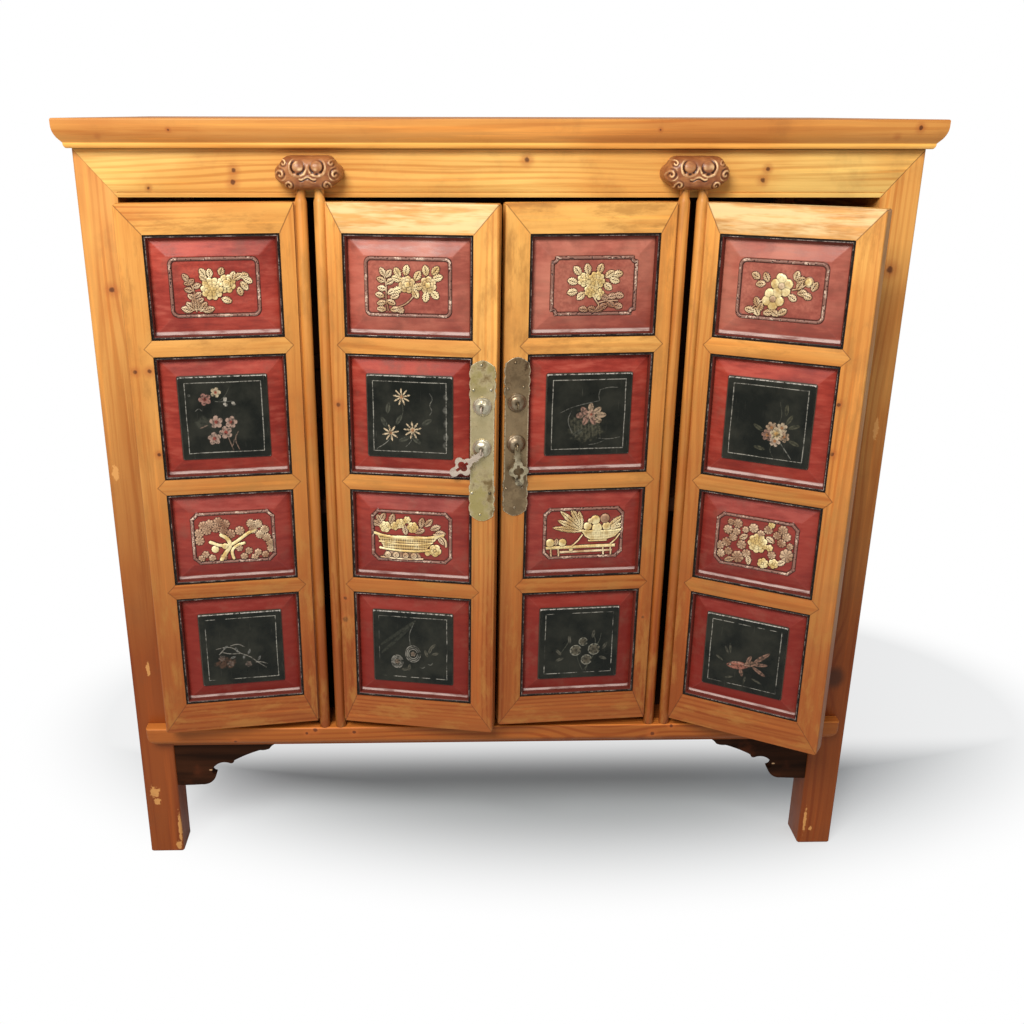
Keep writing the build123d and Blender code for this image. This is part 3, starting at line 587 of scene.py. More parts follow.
def carcass_marks(tree, colour, place):
    """A paler header; a ledge painted paler, its top paler still, painted light against the leaves'
    shade, partly rubbed; dark seams at the mitres; a dark line under the top, the joint with
    painted shade under the top's overhang; and worn patches.
    """
    chosen = tree.attribute("tone").ramp(0.65, 0.8)
    colour = chosen.mix(colour, colour.tint(1.05, 1.26, 1.38))
    x, y, z = place.scaled((1 / MM,) * 3).parts()
    # painted light: the ledge is painted paler, and its top paler still, against the shade the
    # leaves cast on it; the top is partly rubbed
    ledge = (y < FRONT_Y / MM - 1) * (z < LEDGE_TOP + 1)
    colour = ledge.mix(colour, colour.tint(1.18, 1.28, 1.15))
    above = ledge * z.ramp(LEDGE_TOP - 2.2, LEDGE_TOP - 0.6)
    colour = above.mix(colour, colour.tint(1.7, 1.95, 2.2))
    across = abs(x) - (BODY_HALF - POST)
    up = z - HEADER_BOTTOM
    dark = seam(across, up, POST, BODY_TOP - HEADER_BOTTOM)
    # the dark line under the top is the joint, with painted shade under the top's overhang
    dark = dark.larger(z.ramp(BODY_TOP - 2.2, BODY_TOP - 1.0))
    dark = dark * (y < FRONT_Y / MM + 3)
    dark = dark * x.ramp(-430, 430, 0.55, 1.0)
    colour = (dark * 0.75).mix(colour, (0.06, 0.018, 0.007))
    for px, pz, wide, high in ((-540, 112, 11, 15), (-538, 95, 8, 9), (-506, 45, 4, 40),
            (-510, 12, 6, 12), (511, 45, 3.5, 34), (522, 28, 4, 6), (-546, 640, 7, 16),
            (540, 700, 5, 22), (-530, 330, 4, 18)):
        patch = ragged_patch(place, (px * MM, FRONT_Y, pz * MM), (wide * MM, 0.02, high * MM))
        colour = (patch * 0.75).mix(colour, (0.68, 0.33, 0.1))
    return colour


def top_marks(tree, colour, place):
    """The bead under the top's moulding is paler, partly rubbed and partly a painted highlight
    where its face leans to the light; the rest of its edge keeps old varnish.
    """
    z = place.parts()[2]
    # paler bead: partly rubbed, partly a painted highlight where its face leans to the light
    rubbed = z.ramp(*TOP_BEAD)
    return rubbed.mix(colour, colour.tint(1.45, 1.75, 1.75))


def back_marks(tree, colour, place):
    """Bare aged pine outside, each plank in its own tone, and near-black inside: painted shade."""
    y = place.parts()[1]
    shade = tree.attribute("tone").ramp(*BOARD_TONES)
    bare = shade.mix(colour.tint(4.4, 5.0, 5.6), colour.tint(6.6, 8.6, 11.5))
    return (y > BACK_MIDDLE).mix(colour, bare)


def pine_material(name, pale, warm, deep, roughness=0.46, coat=0.04, knots=(), marks=None):
    """Pine under worn varnish: pale between the rings, warm in the streaks, deep near the floor."""
    material, tree, shader = new_material(name, roughness, coat, 0.25, specular=0.22)
    grain = tree.attribute("grain", "Vector")
    tone = tree.attribute("tone")
    place = tree.place()
    figure = tree.group(PINE, Grain=grain, Tone=tone)
    age = tree.group(AGE, Place=place)
    colour = figure["Varnish"].ramp(0.32, 0.68).mix(pale, warm)
    colour = age["Low"].mix(colour, deep)
    # negative tones darken a board: a random tone on most boards, painted shade on the posts and
    # hinge stiles
    colour = tone.ramp(0.0, -1.0, 0.0, 0.85).mix(colour, colour.tint(0.76, 0.6, 0.48))
    ring = colour.tint(0.66, 0.43, 0.25)
    colour = (figure["Figure"] * 0.62).mix(colour, ring)
    streak = figure["Streaks"].ramp(0.5, 0.7)
    colour = (streak * 0.55).mix(colour, ring)
    light = colour.tint(1.25, 1.2, 1.1)
    colour = figure["Streaks"].ramp(0.48, 0.3).mix(colour, light)
    colour = figure["Knot"].mix(colour, (0.09, 0.025, 0.008))
    colour = with_knots(tree, colour, place, knots)
    if marks:
        colour = marks(tree, colour, place)
    colour = (age["Grime"] * 0.22).mix(colour, (0.13, 0.055, 0.02))
    shader["Base Color"] = colour
    shader["Roughness"] = figure["Varnish"].ramp(0.3, 0.7, roughness - 0.06, roughness + 0.12)
    height = figure["Fibre"] * 0.25 + figure["Figure"] * -0.5
    add_bump(shader, height, 0.00025, 0.6)
    return material


def upright(y, *knots):
    """Knots given as x, z and radius in millimetres on the plane at depth y."""
    return [((x * MM, y, z * MM), radius) for x, z, radius in knots]


def on_leaf(name, *knots):
    """Knots given as l, z and radius in millimetres on the face of a leaf."""
    return [(tuple(LEAVES[name].place(l, LEAF_FACE, z)), radius) for l, z, radius in knots]


PINE = make_pine_group()
AGE = make_wear_group()
KNOT = make_knot_group()
CARCASS = pine_material("carcass_pine", (0.80, 0.43, 0.115), (0.66, 0.28, 0.06),
    (0.28, 0.072, 0.013), knots=upright(FRONT_Y, (-523, 896, 5), (529, 921, 6), (-540, 108, 2.5),
    (-350, 1048, 4), (-352, 1033, 4.5), (32, 1061, 4.5), (349, 1050, 3.5), (344, 1036, 4),
    (-462, 1026, 2.5)) + upright(FRONT_Y - LEDGE_REACH, (245, 221, 4.5), (-278, 234, 4.5),
    (-218, 229, 3.5), (-291, 228, 3), (274, 234, 3.5), (-402, 214, 3.5)), marks=carcass_marks)
LEAF_PINE = pine_material("leaf_pine", (0.80, 0.42, 0.108), (0.66, 0.28, 0.058),
    (0.31, 0.086, 0.017),
    knots=on_leaf("outer_left", (230, 797, 3.5), (211, 797, 4), (209, 682, 3.5))
    + on_leaf("inner_left", (18, 744, 4.5), (16, 421, 6), (17, 455, 3.5))
    + on_leaf("outer_right", (208, 766, 3.5), (207, 699, 4))
    + on_leaf("inner_right", (22, 420, 3)), marks=leaf_marks)
TOP_PINE = pine_material("top_pine", (0.62, 0.27, 0.062), (0.52, 0.195, 0.04), (0.33, 0.085, 0.018),
    0.42, 0.06, knots=upright(FRONT_Y - TOP_REACH, (-425, 1097, 2), (-515, 1087, 3),
    (200, 1098, 1.8), (535, 1101, 3.5), (507, 1088, 3)), marks=top_marks)
BACK_MIDDLE = sum(corner.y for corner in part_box("back_boards")) / 2
# near-black wood inside the cabinet and on the back's inner face: painted shade for its dark inside
INSIDE_SHADE = (0.07, 0.025, 0.008), (0.055, 0.019, 0.006), (0.04, 0.013, 0.005), 0.62, 0.0
SHADED_INSIDE = pine_material("inside_wood", *INSIDE_SHADE)
BACK = pine_material("back_wood", *INSIDE_SHADE, marks=back_marks)


def work_carcass():
    """Worked copies of every board of the carcass, each with its finish."""
    sides = ("post_front", "post_back", "side_rails", "side_panels")
    pairs = [f"{part}_{side}" for part in sides for side in ("left", "right")]
    for node in ["header_rail", "sill_rail"] + pairs:
        post = "post" in node
        # dark tone on the posts: painted shade, toning down the strong lamp on them
        tone = -0.6 if post else 0.9 if node == "header_rail" else None
        worked_copy(node, CARCASS, 1.2 if post else 0.8, tone=tone)
    for side in ("left", "right"):
        worked_copy("spandrel_" + side, BRACKET, 1.0)
    for part in ("frame_front", "frame_back", "frame_left", "frame_right", "panel"):
        worked_copy("top_" + part, TOP_PINE, 0.6)
    for node in ("floor_board", "shelf_rails", "shelf_board", "shelf_bearers", "top_battens"):
        worked_copy(node, SHADED_INSIDE, 0.7)
    worked_copy("back_rails", BACK, 0.8)
    worked_copy("back_boards", BACK, 1.8)


# tones of each leaf's rails and of its hinge stile; the hinge stiles' dark tones are painted shade
# beside the poles
LEAF_TONES = {"outer_left": (-0.3, -1.0), "inner_left": (0.8, -0.6), "inner_right": (0.1, -0.9),
    "outer_right": (0.75, -0.9)}


def work_leaf(leaf):
    """Stiles with the pole, and rails, of one leaf."""
    turn = -leaf.side * leaf.ajar
    rail_tone, hinge_shade_tone = LEAF_TONES[leaf.name]
    for part, tone in (("hinge_stile", hinge_shade_tone), ("free_stile", 0.1), ("rails", rail_tone)):
        board = worked_copy(leaf.name + "_" + part, LEAF_PINE, 0.7, turn, tone=tone)
        point_values(board, "spot", leaf.own(vertex_places(board)))


def value_noise(x, y, cell, rng):
    """Smooth random surface from 0 to 1: a lattice of random heights joined by smooth steps."""
    x = (x - x.min()) / cell
    y = (y - y.min()) / cell
    lattice = rng.random((int(y.max()) + 2, int(x.max()) + 2))
    i, j = x.astype(int), y.astype(int)
    a, b = x - i, y - j
    a, b = a * a * (3 - 2 * a), b * b * (3 - 2 * b)
    low = lattice[j, i] * (1 - a) + lattice[j, i + 1] * a
    high = lattice[j + 1, i] * (1 - a) + lattice[j + 1, i + 1] * a
    return low * (1 - b) + high * b


def smooth_step(value, low, high):
    """0 below low, 1 above high, with no corner between."""
    s = np.clip((value - low) / (high - low), 0, 1)
    return s * s * (3 - 2 * s)


def dome(share):
    """Square root of 1 - share, and 0 where the share is above 1."""
    return np.sqrt(np.clip(1 - share, 0, 1))


def rounded_path(points, times=2):
    """Path whose corners are cut at a quarter and three quarters of each run, again and again."""
    points = np.array(points, dtype=float)
    for _ in range(times):
        a, b = points[:-1], points[1:]
        cut = np.stack((0.75 * a + 0.25 * b, 0.25 * a + 0.75 * b), axis=1).reshape(-1, 2)
        points = np.vstack((points[:1], cut, points[-1:]))
    return points


def path_distance(x, y, points):
    """Distance to a path of straight runs, and the share of its length at the nearest point."""
    starts, ends = points[:-1], points[1:]
    lengths = np.hypot(*(ends - starts).T)
    before = np.concatenate(([0], np.cumsum(lengths)))
    best, along = np.full(x.shape, 1e9), np.zeros(x.shape)
    for (ax, ay), (bx, by), length, done in zip(starts, ends, lengths, before):
        share = np.clip(((x - ax) * (bx - ax) + (y - ay) * (by - ay)) / length ** 2, 0, 1)
        distance = np.hypot(x - ax - share * (bx - ax), y - ay - share * (by - ay))
        along = np.where(distance < best, (done + share * length) / before[-1], along)
        best = np.minimum(best, distance)
    return best, along


def corner_distance(x, y, half_w, half_h, corner, kind):
    """Signed distance to a rectangle whose corners are round, cut off or hollowed out."""
    u, v = np.abs(x) - half_w, np.abs(y) - half_h
    if kind == "round":
        a, b = u + corner, v + corner
        outside = np.hypot(np.maximum(a, 0), np.maximum(b, 0))
        return outside + np.minimum(np.maximum(a, b), 0) - corner
    box = np.maximum(u, v)
    if kind == "cut":
        return np.maximum(box, (u + v + corner) / 2 ** 0.5)
    return np.maximum(box, corner - np.hypot(u, v))


def graded_line(half, field_spacing, step):
    """Places across a panel from edge to edge, close together on its field.

    A tablet's edge gets two lines a step apart, one at its foot and one at its top.
    """
    field = half - FIELD_MARGIN
    marks = [0, field - step, field, half - BEAD_WIDTH, half]
    spacings = (field_spacing, step, SLOPE_SPACING, GROUND_SPACING)
    line = [np.linspace(a, b, max(2, round((b - a) / spacing) + 1))
        for a, b, spacing in zip(marks, marks[1:], spacings) if b > a]
    right = np.unique(np.concatenate(line).round(4))
    return np.concatenate((-right[:0:-1], right))


class Panel:
    """Front of one fielded panel as heights over a grid, worked up stamp by stamp.

    x runs to the right and y upwards from the panel's middle, seen from the front, in millimetres.
    The border slopes up from the rim to the field: height = rise x d, with d the share of the
    slope's width from the rim, the same on all four sides, so the slopes meet on mitres.
    """

    def __init__(self, name, row, spacing, edge_step=0.0):
        self.name = name
        self.rng = seeded(name)
        self.z = sum(ROWS[row]) / 2
        self.half_w = OPENING_HALF
        self.half_h = (ROWS[row][1] - ROWS[row][0]) / 2
        lines = [graded_line(half, spacing, edge_step) for half in (self.half_w, self.half_h)]
        self.x, self.y = np.meshgrid(*lines)
        self.inset = np.minimum(self.half_w - np.abs(self.x), self.half_h - np.abs(self.y))
        slope = np.clip((self.inset - BEAD_WIDTH) / (FIELD_MARGIN - BEAD_WIDTH), 0, 1)
        self.base = FIELD_RISE * slope
        self.relief, self.finish, self.ring, self.ground = np.zeros((4, *self.x.shape))

    # -- carving --
    def lay(self, height, gilt, inside):
        """Lay a shape over the relief where it stands higher, with its own share of gilding."""
        height = np.where(inside, height, -1)
        self.finish = np.where(height > self.relief, gilt, self.finish)
        self.relief = np.maximum(self.relief, height)

    def polar(self, x, y):
        """Distance and angle from a place."""
        return np.hypot(self.x - x, self.y - y), np.arctan2(self.y - y, self.x - x)

    def slanted(self, x, y, degrees):
        """Distances along and across a line that leaves a place at a slant."""
        c, s = cos(radians(degrees)), sin(radians(degrees))
        return (self.x - x) * c + (self.y - y) * s, (self.y - y) * c - (self.x - x) * s

    def flower(self, x, y, radius, gilt=1.0, petals=8, lift=0.3, layers=3):
        """Rings of cupped petals, each ring smaller, higher and turned by half a petal.

        The edge of a ring lies at r (1 - 0.17 (2p)^2), where p runs from -1/2 to 1/2 across a
        petal. The surface rises outwards to that edge and drops beyond it, with a groove between
        petals.
        """
        far, angle = self.polar(x, y)
        turn = self.rng.uniform(0, 1)
        for layer in range(layers):
            count = max(petals - 2 * layer, 4)
            p = (angle / (2 * pi) * count + turn + 0.5 * layer) % 1 - 0.5
            share = far / (radius * (1 - 0.31 * layer) * (1 - 0.17 * (2 * p) ** 2))
            cup = 0.5 + 0.5 * np.minimum(share, 1)
            edge = dome(share ** 6)
            groove = 1 - 0.55 * np.abs(2 * p) ** 4 * np.minimum(share, 1)
            self.lay(lift + (1.0 + 0.62 * layer) * cup * edge * groove, gilt, share < 1)
        self.berry(x, y, 0.15 * radius, gilt, lift + 1.6)

    def berry(self, x, y, radius, gilt=1.0, lift=0.2, rise=1.3):
        """Dome: rise x square root of 1 - (distance / radius)^2."""
        far, _ = self.polar(x, y)
        self.lay(lift + rise * dome((far / radius) ** 2), gilt, far < radius)

    def rose(self, x, y, radius, gilt=0.8, lift=0.4, pitch=2.6):
        """Dome with a groove that winds outwards in a spiral."""
        far, angle = self.polar(x, y)
        share = far / radius
        groove = np.cos(2 * pi * far / pitch - angle)
        height = lift + 1.6 * dome(share ** 3) * (1 - 0.22 * groove)
        self.lay(height, gilt, share < 1)

    def tuft(self, x, y, radius, gilt=0.5, ribs=9, lift=0.1):
        """Fan or cloud: dome with ribs that spread from its middle and a scalloped edge."""
        far, angle = self.polar(x, y)
        rib = np.abs(np.cos(ribs * angle / 2 + self.rng.uniform(0, 3)))
        share = far / (radius * (0.86 + 0.14 * rib))
        height = lift + 1.5 * dome(share ** 3) * (0.72 + 0.28 * rib)
        self.lay(height, gilt, share < 1)

    def leaf(self, x, y, length, width, degrees, gilt=0.55, lift=0.1):
        """Pointed leaf with a cut midrib and slanting veins.

        Its half-width at share a of its half-length is w (1 - a^2)^0.75; across, it is domed.
        """
        length, width = 1.1 * length, 1.4 * width
        a, b = self.slanted(x, y, degrees)
        a = a / (length / 2)
        half = width / 2 * np.clip(1 - a * a, 0, 1) ** 0.75 * (1 + 0.06 * np.cos(16 * a))
        share = np.abs(b) / np.maximum(half, 0.01)
        height = lift + 1.5 * dome(share ** 2) - 0.8 * np.exp(-(b / 0.6) ** 2)
        height -= 0.3 * np.cos(2 * pi * (a * length / 2 - np.abs(b)) / 3.0)
        self.lay(height, gilt, (share < 1) & (np.abs(a) < 1))

    def leaves(self, length, width, gilt, *places):
        """Leaves of one size, each at its x, y and degrees."""
        for x, y, degrees in places:
            self.leaf(x, y, length, width, degrees, gilt)

    def tufts(self, radius, gilt, ribs, *places):
        for x, y in places:
            self.tuft(x, y, radius, gilt, ribs)

    def stem(self, points, radius=1.1, gilt=0.6, lift=0.1):
        """Round rod along a smooth path."""
        far, _ = path_distance(self.x, self.y, rounded_path(points))
        self.lay(lift + 1.2 * dome((far / radius) ** 2), gilt, far < radius)

    def slab(self, points, rise=1.3, gilt=0.8, ribs=0.0):
        """Flat shape with rounded edges inside a convex outline given clockwise.

        Its depth inside is the least distance to the outline's sides; ribs cross it every few
        millimetres both ways.
        """
        points = np.array(points, dtype=float)
        depth = np.full(self.x.shape, 1e9)
        for (ax, ay), (bx, by) in zip(points, np.roll(points, -1, axis=0)):
            length = np.hypot(bx - ax, by - ay)
            depth = np.minimum(depth,
                ((self.x - ax) * (by - ay) - (self.y - ay) * (bx - ax)) / length)
        height = 0.1 + rise * dome((1 - np.clip(depth / 1.6, 0, 1)) ** 2)
        height += ribs * (np.cos(2 * pi * self.x / 3.4) * 0.5 + np.cos(2 * pi * self.y / 4.2))
        self.lay(height, gilt, depth > 0)

    def frame_ring(self, kind, corner):
        """Half-round frame on the field along a rectangle's edge, nicked here and there."""
        half_w, half_h = self.half_w - RING_MARGIN, self.half_h - RING_MARGIN
        distance = corner_distance(self.x, self.y, half_w, half_h, corner, kind)
        share = np.abs(distance) / RING_HALF_WIDTH
        nicks = smooth_step(value_noise(self.x, self.y, 2.2, self.rng), 0.72, 0.9)
        height = RING_RISE * dome(share ** 2) * (1 - 0.3 * nicks)
        on_ring = share < 1
        if kind == "cut":
            for x, y in ((half_w - corner, half_h), (half_w, half_h - corner)):
                far = np.hypot(np.abs(self.x) - x, np.abs(self.y) - y) / 2.7
                height = np.maximum(height, RING_RISE * dome(far ** 2))
                on_ring |= far < 1
        self.ring = np.where(on_ring & (height > self.relief), 1.0, 0.0)
        self.finish = np.where(self.ring > 0, 0, self.finish)
        self.relief = np.maximum(self.relief, np.where(on_ring, height, 0))
        self.ground = smooth_step(-distance, 0, 2)

    # -- painting --
    def start_painting(self):
        """Raise the tablet, give it bare lacquer to paint on, and mark the band along its top edge
        in which high places keep a painted highlight.
        """
        step = (self.inset - FIELD_MARGIN) / TABLET_EDGE
        self.base = self.base + TABLET_RISE * np.clip(step, 0, 1)
        self.ground = (step > -0.5).astype(float)
        self.rub = smooth_step(self.y, self.half_h - FIELD_MARGIN - 3,
            self.half_h - FIELD_MARGIN - 2)
        self.colour = np.zeros(self.x.shape + (3,))
        self.paint = np.zeros(self.x.shape)

    def brush(self, mask, colour, share=1.0):
        """Cover with a colour as far as a mask from 0 to 1 says."""
        mask = np.clip(mask, 0, 1) * share
        left = self.paint * (1 - mask)
        total = np.maximum(left + mask, 1e-6)
        self.colour = (self.colour * left[..., None]
            + np.array(colour) * mask[..., None]) / total[..., None]
        self.paint = left + mask

    def border_line(self, worn, inset=8.5, width=0.7):
        """Thin pale line round the tablet, a little uneven, and worn away in places."""
        wander = 0.7 * (value_noise(self.x, self.y, 30, self.rng) - 0.5)
        far = np.abs(self.inset - FIELD_MARGIN - inset - wander)
        gaps = smooth_step(value_noise(self.x, self.y, 9, self.rng), worn - 0.2, worn + 0.15)
        self.brush(smooth_step(-far, -width, -0.3 * width) * gaps, (0.50, 0.47, 0.40), 0.85)

    def blossom(self, x, y, radius, colour, heart=(0.30, 0.07, 0.04), petals=5, share=0.95):
        """Blossom that pales outwards: edge at r (0.58 + 0.42 |cos(n angle / 2)|^0.6)."""
        far, angle = self.polar(x, y)
        fan = np.abs(np.cos(petals * angle / 2 + self.rng.uniform(0, 3)))
        edge = radius * (0.58 + 0.42 * fan ** 0.6)
        mask = smooth_step(edge - far, 0, 0.9)
        pale = np.clip(far / edge, 0, 1) ** 1.5
        self.brush(mask, np.array(colour) * 0.55, share)
        self.brush(mask * pale, colour, share)
        self.brush(smooth_step(0.30 * radius - far, 0, 0.6), heart, share)
        veins = smooth_step(np.abs(np.sin(petals * angle)), 0.96, 1.0) * (far < 0.7 * radius)
        self.brush(mask * veins, heart, 0.5)

    def star(self, x, y, radius, colour, points=8, share=0.95):
        """Dark-hearted star of narrow petals: edge at r (0.2 + 0.8 |cos(n angle / 2)|^2.5)."""
        far, angle = self.polar(x, y)
        fan = np.abs(np.cos(points * angle / 2 + self.rng.uniform(0, 3)))
        mask = smooth_step(radius * (0.2 + 0.8 * fan ** 2.5) - far, -0.2, 0.8)
        self.brush(mask, colour, share)
        self.brush(smooth_step(0.22 * radius - far, 0, 0.8), (0.35, 0.16, 0.07), share)

    def petal(self, x, y, length, width, degrees, colour, share=0.9):
        """Pointed petal or leaf in one stroke, darker along its middle."""
        a, b = self.slanted(x, y, degrees)
        a, b = a / (length / 2), np.abs(b)
        half = width / 2 * np.clip(1 - a * a, 0, 1) ** 0.7
        mask = smooth_step(half - b, -0.1, 0.7) * (np.abs(a) < 1)
        self.brush(mask, np.array(colour) * 0.5, share)
        self.brush(mask * smooth_step(b, 0.2, 1.6), colour, share)

    def petals(self, length, width, colour, share, *places):
        """Petals of one size, each at its x, y and degrees."""
        for x, y, degrees in places:
            self.petal(x, y, length, width, degrees, colour, share)

    def stroke(self, points, width, colour, share=0.8):
        """Thin line along a smooth path, thinner at its ends."""
        far, along = path_distance(self.x, self.y, rounded_path(points))
        half = width / 2 * (0.35 + 1.3 * np.sqrt(np.clip(along * (1 - along), 0, 1)))
        self.brush(smooth_step(half - far, -0.35, 0.25), colour, share)

    def strokes(self, width, colour, share, *paths):
        for points in paths:
            self.stroke(points, width, colour, share)

    def loop(self, x, y, wide, high, angle, colour):
        """One stroke round an ellipse, over the given angles."""
        path = np.stack((x + wide * np.cos(angle), y + high * np.sin(angle)), axis=-1)
        self.stroke(path, 1.2, colour, 0.75)

    def wash(self, x, y, across, up, colour, share=0.3):
        """Faded patch: an ellipse with a soft, blotchy edge."""
        far = np.hypot((self.x - x) / across, (self.y - y) / up)
        blotch = value_noise(self.x, self.y, 4, self.rng)
        self.brush(smooth_step(1.15 - far + 0.5 * (blotch - 0.5), 0, 0.5) * (0.4 + 0.6 * blotch),
            colour, share)

    # -- making the piece --
    def build(self, leaf, node, material):
        """The panel as one closed mesh: relief in front, four edges, and a flat back."""
        self.relief = np.where(self.ring > 0, self.relief,
            RELIEF_LIMIT * np.tanh(RELIEF_GAIN * self.relief / RELIEF_LIMIT))
        rough = 0.2 * (value_noise(self.x, self.y, 2.4, self.rng) - 0.5) * (self.relief > 0.1)
        height = self.base + self.relief + rough
        hollow = height - soften(height)
        # on painted panels high places stay pale mostly along the top edge of the tablet: a painted
        # highlight
        if hasattr(self, "rub"):
            hollow = np.where(hollow > 0, hollow * (0.22 + 0.78 * self.rub), hollow)
        rows, columns = self.x.shape
        rim = rim_of(np.arange(rows * columns).reshape(rows, columns))
        x = np.concatenate((self.x.ravel(), self.x.ravel()[rim], [0]))
        y = np.concatenate((self.y.ravel(), self.y.ravel()[rim], [0]))
        t = np.concatenate((PANEL_RIM - height.ravel(), np.full(len(rim) + 1, PANEL_BACK)))
        back = rows * columns + np.arange(len(rim))
        centre = np.full(len(rim), rows * columns + len(rim))
        walls = np.stack((rim, np.roll(rim, -1), np.roll(back, -1), back), axis=-1).tolist()
        fan = np.stack((back, np.roll(back, -1), centre), axis=-1).tolist()
        places = leaf.place(MIDDLE + leaf.side * x, t, self.z + y)
        obj = new_piece(self.name, places, grid_faces(rows, columns) + walls + fan)
        outward(obj)
        more = np.zeros(len(rim) + 1)

        def over_all(values):
            return np.concatenate((values.ravel(), more))

        # painted reflection: a pale band on each panel's bottom slope just above the bead, where
        # the lacquer faces up towards the light
        sheen_band = smooth_step(-self.y, self.half_h - 10.5, self.half_h - 8.5)
        sheen_band = sheen_band * smooth_step(self.half_w - np.abs(self.x), 5, 8)
        point_values(obj, "finish",
            np.stack([over_all(v) for v in (self.finish, self.ring, hollow)], axis=-1))
        point_values(obj, "zone",
            np.stack([over_all(v) for v in (self.ground, sheen_band, np.ones(self.x.shape))], axis=-1))
        slope = smooth_step(-self.inset, -(FIELD_MARGIN + 1), -(FIELD_MARGIN - 6))
        off = np.abs((self.half_w - np.abs(self.x)) - (self.half_h - np.abs(self.y)))
        point_values(obj, "mitre", over_all(slope * smooth_step(off, 1.3, 0.2)))
        if hasattr(self, "colour"):
            colour = np.concatenate((self.colour.reshape(-1, 3), np.zeros((len(rim) + 1, 3))))
            point_values(obj, "paint_colour", colour)
            point_values(obj, "paint", over_all(self.paint))
        return finish_piece(obj, leaf.body, material, [node])


def soften(height, times=5):
    """Average of each place and its four neighbours, a few times over."""
    for _ in range(times):
        wide = np.pad(height, 1, mode="edge")
        height = (wide[1:-1, 1:-1] + wide[:-2, 1:-1] + wide[2:, 1:-1] + wide[1:-1, :-2]
            + wide[1:-1, 2:]) / 5
    return height


# ---- what is carved ----
def peonies_outer_left(c):
    for x, y, size, degrees in ((30, 13, 13, 30), (38, 14, 12, 8), (43, 8, 12, -25),
            (38, 1, 13, -50), (32, -6, 11, -75), (14, -17, 13, -20), (9, 20, 10, 70),
            (-6, 18, 11, 95), (-15, 19, 11, 125), (-14, 12, 11, 150), (24, 14, 11, 75)):
        c.leaf(x, y, size, 6.4, degrees, 0.75)
    c.stem([(-36, 12), (-30, 3), (-27, -6), (-28, -18), (-26, -31)], 0.9, 0.5)
    c.leaves(11, 5.6, 0.55, (-37, 13, 130), (-31, 7, 40), (-24, 2, 20), (-34, -3, 165),
        (-31, -12, 150), (-23, -10, 35), (-28, -19, 100), (-34, 6, 190), (-21, -17, 30))
    c.leaves(14, 6.5, 0.65, (-38, -28, 165), (-33, -24, 138), (-25, -22, 95), (-17, -25, 50),
        (-10, -29, 15))
    c.flower(15, 4, 12.5, 0.95, 8, 0.2)
    c.flower(-4, -2, 15, 1.0, 10, 0.7)
    c.rose(15, 4, 5.2, 1.0, 1.4)
    c.berry(7, -3, 3.4, 1.0, 1.2)
    c.berry(8, 3, 2.6, 0.9, 1.2)


def peonies_inner_left(c):
    c.leaves(13, 7, 0.8, (-14, 19, 120), (-2, 22, 80), (-15, 11, 165), (24, 22, 100), (37, 22, 50),
        (40, 13, 15), (10, -8, -60), (24, -12, -100), (36, -9, -45), (13, 15, 60), (14, 1, 10),
        (-14, -4, 200))
    c.stem([(-33, 21), (-30, 8), (-29, -4), (-30, -16), (-27, -31)], 0.9, 0.5)
    c.stem([(-22, -28), (-6, -24), (4, -16), (12, -4)], 1.0, 0.6)
    c.leaves(12, 5.8, 0.7, (-34, 19, 120), (-26, 17, 50), (-36, 9, 160), (-24, 7, 30),
        (-35, -2, 170), (-38, -11, 165), (-22, -6, 30), (-18, -12, 20), (-36, -21, 190),
        (-23, -20, -20), (-36, -29, 175), (-18, -29, 10))
    c.tuft(-10, -30, 5, 0.6, 7)
    for x in (-1, 27):
        c.flower(x, 3.5, 11.5, 0.8, 7, 0.5)
        c.berry(x, 3.5, 3.2, 1.0, 2.1)


def peonies_inner_right(c):
    c.leaves(13, 7, 0.75, (-23, 20, 130), (-9, 22, 100), (8, 22, 70), (-29, 6, 165), (-29, -8, 190),
        (-17, -13, 220), (21, 15, 35), (32, 15, 10), (28, 7, -15), (19, -1, -40))
    c.leaves(12, 6.5, 0.35, (15, -15, -20), (26, -14, 10), (35, -13, -10), (24, -24, -35),
        (34, -27, -10), (14, -27, 200), (-13, -31, 170), (-1, -31, 160), (8, -31, 20))
    c.stem([(-1, -12), (4, -20), (9, -26), (2, -33)], 1.1, 0.6)
    c.stem([(8, -22), (20, -19), (33, -20)], 0.9, 0.3)
    c.flower(-13, 8, 9.5, 1.0, 7, 0.3)
    c.flower(7, -11, 8, 1.0, 7, 0.3)
    c.flower(-3, -6, 10, 1.0, 8, 0.6)
    c.flower(3, 7, 12, 1.0, 9, 0.9)


def peonies_outer_right(c):
    c.leaves(12, 6.6, 0.7, (23, 8, 60), (15, -8, -30), (34, -5, -20), (18, 20, 75), (-35, 17, 150),
        (-28, 7, 190), (-21, 16, 120), (-31, -16, 110), (-26, -23, 70), (-40, -27, 170),
        (-15, -29, 10), (-6, -29, 150), (4, -27, 30), (27, -1, 10), (-30, -29, 120),
        (24, 15, 20), (42, 8, 60))
    c.stem([(-36, -24), (-26, -14), (-12, -10)], 1.0, 0.6)
    c.stem([(14, 2), (24, 4), (34, 12)], 1.0, 0.7)
    for cx, cy, start in ((0, 6, 20), (-10, -11, 55)):
        for number in range(5):
            turn = radians(start + 72 * number)
            c.berry(cx + 8.2 * cos(turn), cy + 8.2 * sin(turn), 6.6, 1.0, 0.3, 1.5)
        c.berry(cx, cy, 4.2, 0.6, 1.2, 1.3)
    c.berry(-3, 17, 5.2, 1.0, 0.3)
    c.berry(34, 13, 6.4, 0.7, 0.2, 1.2)
    c.berry(34, 13, 4.4, 1.0, 1.0, 1.2)


